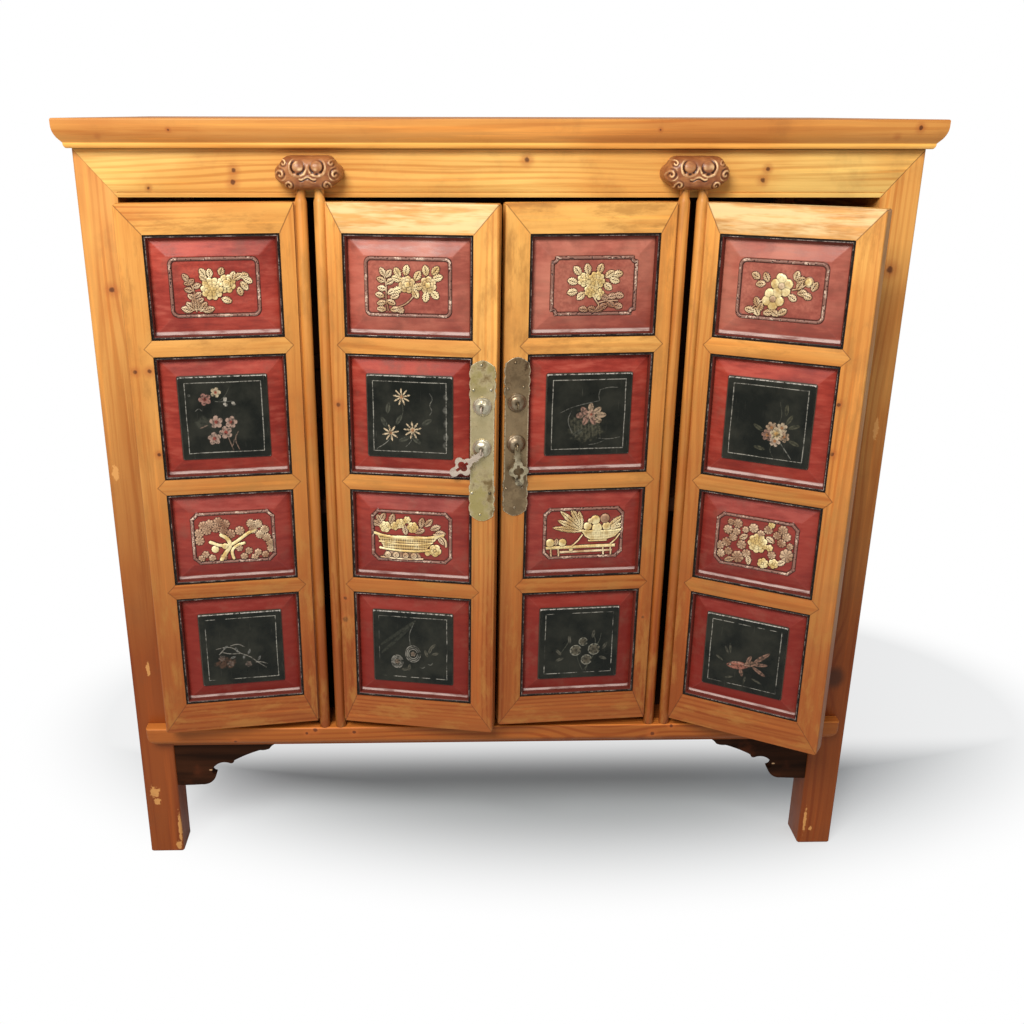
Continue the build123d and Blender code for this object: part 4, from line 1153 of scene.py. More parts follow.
def old_tree(c):
    c.tufts(7, 0.35, 8, (-32, 21), (-37, 12), (-48, 8), (-48, -3), (-11, 20), (-14, 11), (-4, 5),
        (9, 9), (-24, 15), (-41, 19), (-20, 24))
    c.tufts(6.5, 0.55, 11, (25, 19), (35, 18), (44, 9), (37, 2), (46, -3), (51, -11), (52, -20),
        (28, 10))
    c.tufts(5.4, 0.45, 6, (7, -17), (20, -22), (33, -25), (-41, -24), (-47, -30), (-32, -30),
        (13, -30), (28, -32), (43, -29), (-16, -30))
    c.stem([(-33, -6), (-20, -12), (-5, -12), (8, -4), (20, 5), (30, 9)], 2.4, 1.0, 0.5)
    c.stem([(-19, -33), (-12, -22), (-5, -13), (-8, -2), (-17, 4)], 3.0, 1.0, 0.6)
    c.stem([(-2, -32), (-5, -20), (4, -12), (14, -10)], 2.2, 1.0, 0.5)
    c.berry(-27, -17, 5.4, 1.0)
    c.berry(-13, -13, 4.5, 1.0, 0.8)


def flower_boat(c):
    c.leaves(14, 6.4, 0.6, (-46, 24, 120), (-52, 18, 160), (-42, 27, 60), (-28, 26, 70),
        (25, 22, 45), (35, 15, 20), (15, 22, 80), (42, 7, 0), (12, 9, 20), (-9, 10, 100))
    c.slab([(-50, 0), (40, 2), (20, -20), (-40, -20)], 1.2, 0.85, 0.22)
    c.stem([(-56, 4), (-40, -1), (-8, -3), (24, -1), (46, 5)], 2.1, 1.0, 0.6)
    c.stem([(-47, -9), (-20, -12), (10, -12), (30, -8)], 1.2, 0.9, 0.7)
    c.stem([(-46, -19), (-20, -22), (8, -22), (25, -19)], 1.8, 1.0, 0.6)
    c.slab([(-38, -24), (10, -24), (15, -34), (-44, -34)], 0.5, 0.45)
    for x in (-35, -23, -9, 3):
        c.rose(x, -29, 4.6, 0.65, 0.5)
    c.stem([(-45, -33), (-14, -35), (16, -33)], 1.3, 0.7, 0.5)
    c.stem([(33, 5), (44, 3), (50, -4), (50, -12)], 1.6, 0.7, 0.4)
    c.leaf(43, -4, 14, 5, -50, 0.5)
    for x, y, radius in ((-38, 13, 8.6), (-24, 15, 6.5), (-16, 19, 7.5), (2, 14, 8.5),
            (-6, 25, 5.5)):
        c.flower(x, y, radius, 1.0, 6, 0.6)
    c.flower(34, -19, 9.5, 1.0, 5, 0.5, 2)
    c.berry(23, -24, 4, 0.9)


def fruit_bowl(c):
    for x, y, length, degrees in ((-22, 6, 42, 172), (-18, 19, 40, 138), (-5, 19, 26, 98),
            (-20, 12, 36, 156), (47, 16, 24, 38), (48, 9, 20, 12), (-12, 25, 28, 118)):
        c.leaf(x, y, length, 6.6, degrees, 0.8)
    for x, y, radius, gilt in ((6, 10, 6, 1.0), (17, 19, 7, 1.0), (31, 21, 7, 0.3),
            (20, 7, 7.5, 1.0), (34, 9, 6.4, 0.9), (44, 8, 5, 0.8), (10, 18, 4, 0.8)):
        c.berry(x, y, radius, gilt, 0.5, 1.8)
    c.slab([(-3, 3), (56, 3), (47, -7), (33, -11), (11, -11), (3, -6)], 1.6, 0.9, 0.06)
    c.stem([(-5, 4), (12, 2), (40, 2), (57, 4)], 1.6, 1.0, 0.9)
    c.stem([(9, -12), (34, -12)], 1.5, 0.9, 0.6)
    for points in ([(-1, -3), (-9, -14), (-18, -21)], [(54, -3), (48, -12), (41, -18)]):
        c.stem(points, 1.1, 0.8, 0.2)
    c.slab([(-55, -19), (48, -18), (48, -23), (-55, -24)], 1.2, 0.9, 0.1)
    c.slab([(-34, -27), (44, -26), (44, -29.5), (-34, -30.5)], 0.9, 0.7)
    for x in (-47, -36, 41, 30):
        c.stem([(x, -23), (x + 1, -34)], 1.3, 0.7, 0.2)
    c.berry(-48, -14, 6.4, 1.0, 0.3, 1.7)
    c.berry(-30, -14, 6, 0.9, 0.3, 1.6)
    c.leaf(-39, -13, 10, 5, 80, 0.7)
    c.berry(-17, -25, 3.2, 0.8)


def rosettes(c):
    for x, y, radius in ((-5, 22, 7), (6, 15, 6), (-28, 25, 7), (-41, 14, 7), (-29, 13, 6),
            (-33, 4, 6.5), (-42, -5, 7), (-51, -11, 6.5), (-49, -23, 6.5), (-24, -24, 9),
            (-12, -17, 6.5), (16, 23, 6.5), (36, 26, 7), (29, 17, 6), (42, 17, 6.5), (36, 7, 6.5),
            (45, -10, 10), (-20, -5, 7), (24, -13, 6), (-38, -18, 6), (-16, 18, 5), (48, 4, 5),
            (-38, 26, 5)):
        c.tuft(x, y, radius, 0.45, 8)
    c.leaves(13, 6, 0.6, (-18, 7, 30), (20, 9, 150), (-8, -26, 100), (38, -22, 30), (-36, -30, 20))
    c.flower(3, 1, 14.5, 1.0, 9, 0.8)
    for x, y, radius in ((13, -27, 8), (28, -25, 7.5), (20, 31, 5), (20, -3, 5.2)):
        c.flower(x, y, radius, 1.0, 6, 0.7, 2)


# ---- what is painted ----
PINK = (0.38, 0.19, 0.15)
CREAM = (0.56, 0.46, 0.30)
ASH = (0.27, 0.26, 0.22)
MOSS = (0.075, 0.075, 0.055)
RUST = (0.18, 0.085, 0.05)
TAN = (0.42, 0.29, 0.19)
DUSTY = (0.34, 0.19, 0.14)


def plum_blossom(c):
    c.stroke([(9, 43), (3, 30), (-7, 22), (-14, 24)], 0.9, MOSS)
    c.stroke([(-39, 10), (-34, 14), (-30, 10)], 0.9, ASH, 0.5)
    c.stroke([(-12, 22), (0, 22), (14, 22)], 0.7, ASH, 0.5)
    for points in ([(2, -26), (6, -38), (9, -47)], [(17, -20), (11, -31), (17, -46)],
            [(11, -31), (8, -40)], [(-24, -10), (-34, -14)]):
        c.stroke(points, 1.5, RUST, 0.9)
        c.stroke(points, 0.6, ASH, 0.6)
    c.wash(-28, -6, 12, 9, MOSS, 0.5)
    for x, y, radius in ((-25, 26, 9), (-12, -6, 9.5), (8, -7, 9), (0, -21, 9.5), (-16, -29, 9.5)):
        c.blossom(x, y, radius, PINK if y > 0 else (0.46, 0.31, 0.24), (0.26, 0.05, 0.035))
    c.blossom(-10, 35, 7.5, CREAM)
    for x, y in ((2, 25), (2, 18), (13, 19)):
        c.blossom(x, y, 3.4, (0.55, 0.5, 0.42), (0.3, 0.25, 0.2), 2)
    c.wash(-46, 32, 2, 2, ASH, 0.4)


def cream_stars(c):
    c.petals(17, 7, MOSS, 0.8, (-36, -8, 120), (-15, -4, 60), (-8, -31, 200), (9, -32, -40),
        (-30, 12, 80), (24, -6, 30))
    c.stroke([(-27, -30), (-34, -38), (-47, -46)], 0.9, ASH)
    c.stroke([(4, -24), (2, -34), (-6, -42)], 0.8, ASH, 0.5)
    c.stroke([(-11, 22), (-8, 8), (-14, -6)], 0.8, MOSS, 0.9)
    c.stroke([(28, 34), (33, 26), (27, 18), (32, 10), (28, 4)], 0.9, ASH, 0.55)
    for y in (30, 12, -8, -26, -38):
        c.wash(50, y, 3.5, 5, ASH, 0.4)
    for x, y, radius, points in ((-11, 28, 12.5, 9), (-27, -23, 12, 8), (4, -18, 13, 9)):
        c.star(x, y, radius, (0.68, 0.52, 0.33), points)


def leafy_flower(c):
    c.wash(-3, -17, 24, 22, (0.075, 0.07, 0.045), 0.85)
    for x in range(-20, 16, 5):
        c.stroke([(x, -4), (x + 1, -18), (x + 3, -34)], 0.8, (0.12, 0.11, 0.07), 0.6)
    c.strokes(0.8, ASH, 0.55, [(-40, 3), (-21, 12), (14, 19)], [(14, 34), (27, 38), (40, 37)],
        [(15, 34), (13, 27), (15, 19)], [(15, -34), (30, -36), (46, -33)],
        [(2, -43), (12, -42), (23, -38)], [(-24, 6), (-30, -8), (-22, -26)])
    for x, y, length, degrees, colour in ((3, 10, 13, 85, TAN), (-6, 5, 15, 130, DUSTY),
            (12, 5, 15, 40, TAN), (18, -1, 15, 0, TAN), (-4, -8, 15, -110, DUSTY),
            (7, -9, 13, -60, DUSTY), (-12, -1, 12, 190, DUSTY), (14, -8, 12, -30, TAN)):
        c.petal(x, y, length, 8.5, degrees, colour, 0.85)
    c.blossom(4, 0, 7, (0.50, 0.32, 0.22), (0.22, 0.05, 0.03), 6)
    c.petal(-14, -25, 18, 7, 30, MOSS)


def single_flower(c):
    c.petals(17, 6, (0.085, 0.08, 0.05), 0.8, (-8, -36, 170), (29, 7, 60), (36, -2, 20),
        (-12, -8, 150), (24, 20, 90), (38, -24, -20))
    c.stroke([(19, -25), (28, -36), (36, -46)], 1.1, ASH)
    c.stroke([(8, -28), (6, -38), (12, -47)], 0.9, MOSS, 0.9)
    c.stroke([(14, -2), (19, 12), (14, 30)], 0.8, MOSS, 0.9)
    for x, y, radius, colour in ((6, -6, 8.5, TAN), (20, -5, 8, (0.52, 0.40, 0.27)),
            (24, -17, 8, TAN), (12, -24, 8.5, (0.50, 0.38, 0.28)), (1, -17, 8.5, DUSTY),
            (13, -14, 9, (0.58, 0.46, 0.30))):
        c.blossom(x, y, radius, colour, (0.30, 0.13, 0.05), 6)
    c.star(13, -14, 6, (0.52, 0.33, 0.10), 9)


def faded_branch(c):
    c.wash(-25, -22, 14, 9, RUST, 0.45)
    c.strokes(1.2, (0.34, 0.31, 0.26), 0.7, [(-38, 1), (-17, 5), (-3, -8), (11, -14), (20, -23),
        (34, -34)], [(-30, -4), (-18, -8), (-3, -8)], [(-17, 5), (-6, 8), (4, 2)],
        [(18, -24), (27, -24), (36, -28)], [(-34, -8), (-24, 2)])
    c.petals(10, 3.6, (0.30, 0.29, 0.26), 0.7, (-24, 3, 40), (-8, -2, 110), (2, -14, -100),
        (24, -18, 60), (-14, -14, 200), (10, -6, 70))
    for x, y in ((-30, -14), (-18, -24), (8, -26)):
        c.blossom(x, y, 5.5, (0.20, 0.15, 0.12), (0.1, 0.05, 0.04), 5, 0.6)


def ringed_flowers(c):
    for x, y, wide, high in ((-24, -24, 9, 10.5), (0, -10, 11.5, 13.5)):
        for share in (1.0, 0.8, 0.58):
            c.loop(x, y, share * wide, share * high, np.linspace(0.3, 2 * pi, 15),
                (0.36, 0.33, 0.28))
        c.blossom(x, y, 4.6, (0.24, 0.18, 0.13), (0.09, 0.05, 0.03))
    c.petals(13, 5, (0.12, 0.11, 0.08), 0.8, (26, -2, 70), (33, -8, 20), (20, -8, 110), (30, 4, 45),
        (-12, -36, 10), (-6, -33, 80))
    c.strokes(0.9, ASH, 0.6, [(10, -31), (14, -33), (18, -30)], [(22, -25), (27, -27), (30, -22)],
        [(-4, 4), (-6, 22), (2, 40)])
    for shift in (0, 14):
        c.stroke([(-48, -12 + shift), (-14, 22 + shift / 2), (4, 44)], 5, MOSS, 0.3)


def grey_flowers(c):
    c.strokes(1.0, MOSS, 0.95, [(-26, -15), (-16, 0), (-12, 12)], [(22, 13), (26, 4), (25, -8)],
        [(34, 15), (32, 2), (26, -8)], [(-2, -20), (2, -34), (8, -46)],
        [(24, -20), (18, -32), (9, -46)], [(15, -36), (12, -46)])
    c.petals(14, 5, (0.13, 0.12, 0.09), 0.75, (-30, -14, 130), (-28, -26, 200), (40, -6, 60),
        (38, -26, -20), (-14, 6, 100), (22, 14, 80))
    for x, y, radius in ((7, 2, 6.5), (-4, -12, 8.5), (24, -11, 9), (13, -28, 8)):
        c.blossom(x, y, radius, (0.15, 0.13, 0.09), (0.05, 0.04, 0.025), 7, 0.85)
        c.loop(x, y, radius, radius, np.linspace(0.4, 2 * pi - 0.4, 11), (0.34, 0.32, 0.25))


def goldfish(c):
    for x, y, length, degrees in ((-21, 8, 18, 95), (-26, 4, 16, 120), (-36, -11, 15, 150),
            (-20, -39, 16, 20), (22, -36, 18, 160), (4, -38, 14, 80)):
        c.petal(x, y, length, 3.4, degrees, (0.15, 0.14, 0.10), 0.8)
    for x, y, length, width, degrees in ((26, 2, 32, 7, 42), (24, -9, 26, 6, 8),
            (24, -20, 24, 6, -28), (8, -4, 15, 6, 65), (-2, -27, 14, 6, -70)):
        c.petal(x, y, length, width, degrees, (0.30, 0.165, 0.115), 0.75)
    c.petal(-8, -17, 34, 13, 8, (0.33, 0.125, 0.085), 0.9)
    c.petal(10, -11, 20, 9, 20, (0.27, 0.15, 0.10), 0.8)
    c.stroke([(-20, -14), (-8, -12), (6, -15)], 0.9, (0.5, 0.32, 0.24), 0.8)
    c.blossom(-19, -18, 1.8, (0.5, 0.45, 0.36), (0.02, 0.02, 0.02), 5)


WORK = {"outer_left": (peonies_outer_left, "round", 8, plum_blossom, old_tree, faded_branch),
    "inner_left": (peonies_inner_left, "round", 7, cream_stars, flower_boat, ringed_flowers),
    "inner_right": (peonies_inner_right, "hollow", 6, leafy_flower, fruit_bowl, grey_flowers),
    "outer_right": (peonies_outer_right, "round", 8, single_flower, rosettes, goldfish), }


def panel_pieces(leaf):
    """The two carved and two painted panels of one leaf."""
    upper, corner_kind, corner, first_picture, lower, second_picture = WORK[leaf.name]
    for row, carve, kind, size in (("carved_upper", upper, corner_kind, corner),
            ("carved_lower", lower, "cut", 8)):
        panel = Panel(f"{leaf.name}_{row}_panel", row, CARVED_SPACING)
        carve(panel)
        panel.frame_ring(kind, size)
        panel.relief *= smooth_step(panel.inset, FIELD_MARGIN, FIELD_MARGIN + 1.0)
        panel.build(leaf, leaf.name + "_carved_panels", CARVED_LACQUER)
    for row, picture in (("painted_upper", first_picture), ("painted_lower", second_picture)):
        panel = Panel(f"{leaf.name}_{row}_panel", row, PAINTED_SPACING, TABLET_EDGE)
        panel.start_painting()
        picture(panel)
        panel.border_line(0.1 if row == "painted_upper" else 0.4)
        panel.build(leaf, leaf.name + "_painted_panels", PAINTED_LACQUER)


# ---- beads round the openings ----
BEAD_PROFILE = ((0.0, 1.5, 0), (0.0, -7.4, 0), (0.5, -8.0, 0), (1.4, -8.0, 0), (1.8, -7.1, 0),
    (2.1, -7.1, 0), (2.4, -7.8, 0), (2.8, -8.0, 1), (3.2, -7.9, 1), (3.6, -7.7, 0), (4.3, -7.1, -1),
    (5.0, -6.2, -1), (5.4, -5.0, -1), (5.5, 1.5, -1))


def bead_frame(leaf):
    """Lining of a leaf's four openings: a moulded section carried round each and mitred.

    The section is given as inset from the opening's edge, depth and finish: 1 on the silver line,
    0 on the black, -1 on the side that is lacquered with the panel. A ring runs from corner to
    corner, each corner at half the opening's size minus the inset.
    """
    profile = np.array(BEAD_PROFILE)
    rings = []
    for low, high in ROWS.values():
        sections = []
        for sign_x, sign_y, next_x, next_y in ((-1, -1, 1, -1), (1, -1, 1, 1), (1, 1, -1, 1),
                (-1, 1, -1, -1)):
            for share in np.linspace(0, 1, 12, endpoint=False):
                x = (sign_x * (1 - share) + next_x * share) * (OPENING_HALF - profile[:, 0])
                y = (sign_y * (1 - share) + next_y * share) * ((high - low) / 2 - profile[:, 0])
                sections.append(leaf.place(MIDDLE + x, profile[:, 1], (low + high) / 2 + y))
        rings.append(np.stack(sections))
    obj = round_piece(leaf.name + "_beads_lined", rings, round_rows=True)
    outward(obj, 35)
    point_values(obj, "line", np.tile(profile[:, 2], sum(len(ring) for ring in rings)))
    return finish_piece(obj, leaf.body, BLACK_BEAD, [leaf.name + "_beads"])


# ---- lacquers ----
def make_lacquer_group():
    """Old red lacquer: brushed, darker in blotches and low down, and paler on the upper panels,
    partly dust and partly a painted sheen.

    Streaks follow the brush along the cabinet's width. Hollow is the height above the
    surroundings: hollows are darker and high places are rubbed pale; on the painted panels the
    pale of high places is kept mostly along the top, a painted highlight. The zone's second number
    marks a painted reflection, a pale band along each panel's bottom slope.
    """
    tree, given, out = new_group("red_lacquer",
        {"Place": "vector", "Zone": "vector", "Mitre": "float", "Hollow": "float"},
        {"Colour": "colour", "Roughness": "float", "Height": "float"})
    place = given["Place"]
    zone = given["Zone"].parts()
    broad = place.noise(9.0, 4.0, 0.55)
    streaks = place.scaled((30, 30, 140)).noise(detail=4.0, rough=0.6)
    fine = place.noise(240.0, 3.0, 0.6)
    colour = broad.ramp(0.34, 0.66).mix((0.25, 0.026, 0.017), (0.44, 0.058, 0.035))
    colour = (streaks.ramp(0.45, 0.75) * 0.5).mix(colour, (0.56, 0.13, 0.085))
    colour = (streaks.ramp(0.52, 0.3) * 0.5).mix(colour, (0.16, 0.02, 0.014))
    low = tree.group(AGE, Place=place)
    colour = (low["Low"] * 0.85).mix(colour, (0.155, 0.0145, 0.01))
    x, _, z = place.parts()
    # paler haze on the upper panels: partly dust, partly a painted sheen
    dusty = x.ramp(-0.28, -0.12) * z.ramp(0.8, 0.88)
    dusty = dusty * broad.ramp(0.36, 0.6, 0.2, 0.5)
    colour = dusty.mix(colour, (0.5, 0.24, 0.16))
    colour = place.noise(24.0, 5.0, 0.65).ramp(0.5, 0.72, 0.0, 0.6).mix(colour, (0.2, 0.055, 0.036))
    ground = zone[0] * fine.ramp(0.3, 0.7, 0.1, 0.45)
    colour = ground.mix(colour, (0.15, 0.022, 0.016))
    colour = (low["Grime"] * 0.4).mix(colour, (0.13, 0.02, 0.014))
    hollow_dark = given["Hollow"].ramp(-0.02, -0.35)
    colour = (hollow_dark * 0.85).mix(colour, (0.045, 0.012, 0.008))
    rubbed = given["Hollow"].ramp(0.24, 0.42) * fine.ramp(0.4, 0.6)
    colour = (rubbed * 0.7).mix(colour, (0.62, 0.3, 0.24))
    mitre = given["Mitre"] * broad.ramp(0.35, 0.6, 0.1, 0.5)
    colour = (mitre * 0.2).mix(colour, (0.55, 0.2, 0.15))
    # painted reflection: the pale band along each panel's bottom slope
    sheen_band = zone[1] * streaks.ramp(0.3, 0.55, 0.3, 0.95)
    colour = sheen_band.mix(colour, (0.78, 0.6, 0.55))
    out["Colour"] = colour
    out["Roughness"] = streaks.ramp(0.3, 0.7, 0.3, 0.48)
    out["Height"] = streaks * 0.6 + fine * 0.3
    return tree.tree


def back_wood(place, colour, front):
    """Plain dark wood on a panel's back and edges."""
    plain = place.scaled((60, 60, 4)).noise(detail=4.0).mix((0.16, 0.07, 0.035), (0.3, 0.15, 0.07))
    return front.mix(plain, colour)


def carved_lacquer():
    """Red lacquer with a rubbed brown frame and gilt carving over dark crevices."""
    material, tree, shader = new_material("carved_lacquer", 0.42, 0.0, 0.3, specular=0.3)
    place = tree.place()
    zone = tree.attribute("zone", "Vector")
    gilt, ring, hollow = tree.attribute("finish", "Vector").parts()
    lacquer = tree.group(LACQUER, Place=place, Zone=zone, Mitre=tree.attribute("mitre"),
        Hollow=hollow)
    grain = place.noise(420.0, 3.0, 0.7)
    patch = place.noise(55.0, 4.0, 0.6)
    ring_colour = hollow.ramp(-0.05, 0.3).mix((0.028, 0.01, 0.008), (0.24, 0.115, 0.085))
    nicks = patch.ramp(0.5, 0.6) * grain.ramp(0.42, 0.6)
    nicks = nicks * hollow.ramp(0.05, 0.3)
    ring_colour = nicks.mix(ring_colour, (0.74, 0.56, 0.42))
    bright = patch.ramp(0.38, 0.64).mix((0.62, 0.42, 0.15), (0.95, 0.8, 0.44))
    gold = hollow.ramp(-0.3, 0.17).mix((0.05, 0.02, 0.008), bright)
    dusty = patch.ramp(0.36, 0.66).mix((0.4, 0.225, 0.12), (0.78, 0.6, 0.38))
    brown = hollow.ramp(-0.3, 0.24).mix((0.035, 0.014, 0.009), dusty)
    brown = gilt.ramp(0.62, 0.34, 0.0, 0.75).mix(brown, brown.tint(0.62, 0.44, 0.42))
    carving = gilt.ramp(0.6, 0.95).mix(brown, gold)
    carving = (grain.ramp(0.57, 0.7) * 0.5).mix(carving, (0.13, 0.055, 0.03))
    colour = gilt.ramp(0.05, 0.12).mix(lacquer["Colour"], carving)
    colour = ring.ramp(0.3, 0.7).mix(colour, ring_colour)
    front = zone.parts()[2]
    shader["Base Color"] = back_wood(place, colour, front)
    shader["Roughness"] = lacquer["Roughness"] + gilt * 0.04
    shader["Metallic"] = gilt * 0.15
    add_bump(shader, lacquer["Height"] + grain * 0.4, 0.0003, 0.5)
    return material


def painted_lacquer():
    """Red lacquer round a near-black tablet with a worn picture and scratches."""
    material, tree, shader = new_material("painted_lacquer", 0.38, specular=0.16)
    place = tree.place()
    tablet, sheen_band, front = tree.attribute("zone", "Vector").parts()
    hollow = tree.attribute("finish", "Vector").parts()[2]
    bare = tree.add("ShaderNodeCombineXYZ", {"Y": sheen_band})[0]
    lacquer = tree.group(LACQUER, Place=place, Zone=bare, Mitre=tree.attribute("mitre"),
        Hollow=hollow)
    broad = place.noise(22.0, 4.0, 0.6)
    fine = place.noise(260.0, 4.0, 0.65)
    scratch = place.scaled((900, 900, 30)).noise(detail=2.0)
    ground = broad.ramp(0.35, 0.7).mix((0.007, 0.008, 0.006), (0.022, 0.022, 0.016))
    ground = (scratch.ramp(0.68, 0.8) * 0.25).mix(ground, (0.16, 0.15, 0.12))
    worn = tree.attribute("paint") * fine.ramp(0.36, 0.56, 0.15, 0.9)
    ground = worn.mix(ground, tree.attribute("paint_colour", "Color"))
    # pale on the tablet's high edges, mostly along its top: painted highlight, with a little wear
    # elsewhere
    rubbed = hollow.ramp(0.12, 0.35) * fine.ramp(0.35, 0.6)
    ground = rubbed.mix(ground, (0.5, 0.47, 0.42))
    side = hollow.ramp(-0.1, -0.4)
    ground = side.mix(ground, (0.045, 0.05, 0.036))
    colour = tablet.mix(lacquer["Colour"], ground)
    shader["Base Color"] = back_wood(place, colour, front)
    polish = tree.add("ShaderNodeMix", {0: tablet, 2: lacquer["Roughness"],
        3: broad.ramp(0.3, 0.7, 0.24, 0.42)}, data_type="FLOAT")
    shader["Roughness"] = polish[0]
    add_bump(shader, lacquer["Height"] + fine * 0.5, 0.0002, 0.45)
    return material


def black_bead():
    """Black paint with a silver line on its crest, partly rubbed silvering and partly a painted
    highlight along the crest.
    """
    material, tree, shader = new_material("black_bead", 0.4, specular=0.2)
    place = tree.place()
    line = tree.attribute("line")
    patch = place.noise(45.0, 5.0, 0.7)
    fine = place.noise(500.0, 3.0, 0.6)
    black = fine.ramp(0.4, 0.7).mix((0.008, 0.005, 0.004), (0.035, 0.022, 0.015))
    # silver line: partly silvering, partly a painted highlight on the bead's crest
    silver = fine.ramp(0.35, 0.6).mix((0.06, 0.035, 0.028), (0.36, 0.28, 0.245))
    share = line.ramp(0.2, 0.8) * patch.ramp(0.44, 0.6)
    red = fine.mix((0.07, 0.012, 0.008), (0.16, 0.028, 0.018))
    ground = line.ramp(-0.2, -0.8).mix(black, red)
    shader["Base Color"] = share.mix(ground, silver)
    shader["Metallic"] = share * 0.3
    add_bump(shader, fine, 0.0003, 0.5)
    return material


LACQUER = make_lacquer_group()
CARVED_LACQUER = carved_lacquer()
PAINTED_LACQUER = painted_lacquer()
BLACK_BEAD = black_bead()


# ---- brass on the two inner leaves ----
PLATE_MIDDLE = (218.45, 699.5)
PLATE_HALF_WIDTH = 16.9
PLATE_HALF_LENGTH = 113.0
PLATE_SHOULDER = 101.0        # middle to where its pointed ends begin
PLATE_SCALLOPS_FROM = 59.0
PLATE_FACE = -10.5
BRASS_MIDDLE = 0.715          # height in metres from which verdigris grows towards both ends
BOSS_LEVELS = (750.0, 692.0)
BOSS_RADIUS = 13.5
BOSS_HEIGHT = 8.0
STAPLE_OUT = -23.2
STAPLE_WIRE = 1.3
STAPLE_DROP = 6.0
NAILS = {"inner_left": ((216.6, 806), (206.2, 772), (230, 773), (204.7, 627.5), (229.5, 628.5),
    (216.4, 596.5)), "inner_right": ((221.5, 805), (231.4, 769.5), (209.7, 771.5), (219.3, 599.5),
    (208.5, 629), (231.5, 628))}


def solid_faces(rows, columns, offset=0):
    """Faces of a solid: a front grid, then a back grid, joined at their edges."""
    size = rows * columns
    index = np.arange(size).reshape(rows, columns) + offset
    rim = rim_of(index)
    walls = np.stack((rim, np.roll(rim, -1), np.roll(rim, -1) + size, rim + size), axis=-1)
    return (grid_faces(rows, columns, offset) + grid_faces(rows, columns, offset + size, flip=True)
        + walls.tolist())


def lock_plate(leaf, material):
    """Hand-cut plate, a little dented.

    Its half-width is even in the middle, swings in and out by |sin| along the scallops, and at
    each end falls as 1.22 (1 - s)^0.6, a pointed arch. Its face rounds off over the last
    millimetre.
    """
    rng = seeded(leaf.name + "_plate")
    p, q = np.meshgrid(np.linspace(-1, 1, 48), np.linspace(-1, 1, 280))
    up = PLATE_HALF_LENGTH * q
    far = np.abs(up)
    swing = 1.6 * np.abs(np.sin(pi * (PLATE_SHOULDER - far) / 14)) * (far > PLATE_SCALLOPS_FROM)
    end = np.clip((far - PLATE_SHOULDER) / (PLATE_HALF_LENGTH - PLATE_SHOULDER), 0, 1)
    half = np.where(far < PLATE_SHOULDER, PLATE_HALF_WIDTH + swing,
        PLATE_HALF_WIDTH * np.minimum(1, 1.22 * (1 - end) ** 0.6))
    across = half * p
    inset = np.minimum(half - np.abs(across), (PLATE_HALF_LENGTH - far) * 1.2)
    rounded = dome((1 - np.clip(inset, 0, 1)) ** 2)
    dents = 0.55 * value_noise(across, up, 11, rng) + 0.25 * value_noise(across, up, 4, rng)
    front = LEAF_FACE - 0.3 - rounded * (LEAF_FACE - 0.3 - PLATE_FACE - 0.5 * dents)
    l = PLATE_MIDDLE[0] + leaf.side * across
    places = np.concatenate([leaf.place(l, t, PLATE_MIDDLE[1] + up).reshape(-1, 3)
        for t in (front, np.full(front.shape, LEAF_FACE))])
    obj = new_piece(leaf.name + "_plate_cut", places, solid_faces(*front.shape))
    edge = smooth_step(-inset, -2.2, -0.3)
    # the back's value of -1.5 darkens the plate's cut sides: painted contact shadow round the plate
    point_values(obj, "edge", np.concatenate((edge.ravel(), np.full(edge.size, -1.5))))
    outward(obj, weld=True)
    return finish_piece(obj, leaf.body, material, [leaf.name + "_lock_plate"])


def turned(leaf, l, z, radii, depths, sides, rng, dent=0.0):
    """Places of a turned solid on a leaf's face: circles of given radii at given depths."""
    radii, angle = np.meshgrid(radii, np.linspace(0, 2 * pi, sides, endpoint=False), indexing="ij")
    t = np.broadcast_to(np.array(depths)[:, None], radii.shape)
    x, y = radii * np.cos(angle), radii * np.sin(angle)
    if dent:
        domed = (radii < radii.max() - 0.3) * (t < PLATE_FACE)
        t = t + dent * (value_noise(x, y, 3.4, rng) - 0.4) * domed
    return leaf.place(l + x, t, z + y)


def bosses(leaf, material):
    """Two domes: height = 8 (1 - u^2.4)^0.8 at share u of the radius, sunk round the staple."""
    rng = seeded(leaf.name + "_bosses")
    u = np.concatenate((np.linspace(0, 0.9, 22), np.linspace(0.92, 1, 8)))
    dish = 1.6 * np.exp(-(u / 0.2) ** 2)
    groove = 0.5 * np.exp(-((u - 0.8) / 0.04) ** 2)
    rise = BOSS_HEIGHT * (1 - u ** 2.4) ** 0.8 - dish - groove
    radii = np.concatenate((u * BOSS_RADIUS, [BOSS_RADIUS - 0.4, 0]))
    depths = np.concatenate((PLATE_FACE - np.clip(rise, 0, None), [PLATE_FACE + 0.8] * 2))
    sides = 56
    domes = [turned(leaf, PLATE_MIDDLE[0], z, radii, depths, sides, rng, 0.8) for z in BOSS_LEVELS]
    obj = round_piece(leaf.name + "_bosses_dented", domes)
    point_values(obj, "pit", np.tile(np.repeat(np.exp(-(radii / 3.0) ** 2), sides), len(domes)))
    outward(obj, weld=True)
    return finish_piece(obj, leaf.body, material, [leaf.name + "_bosses"])


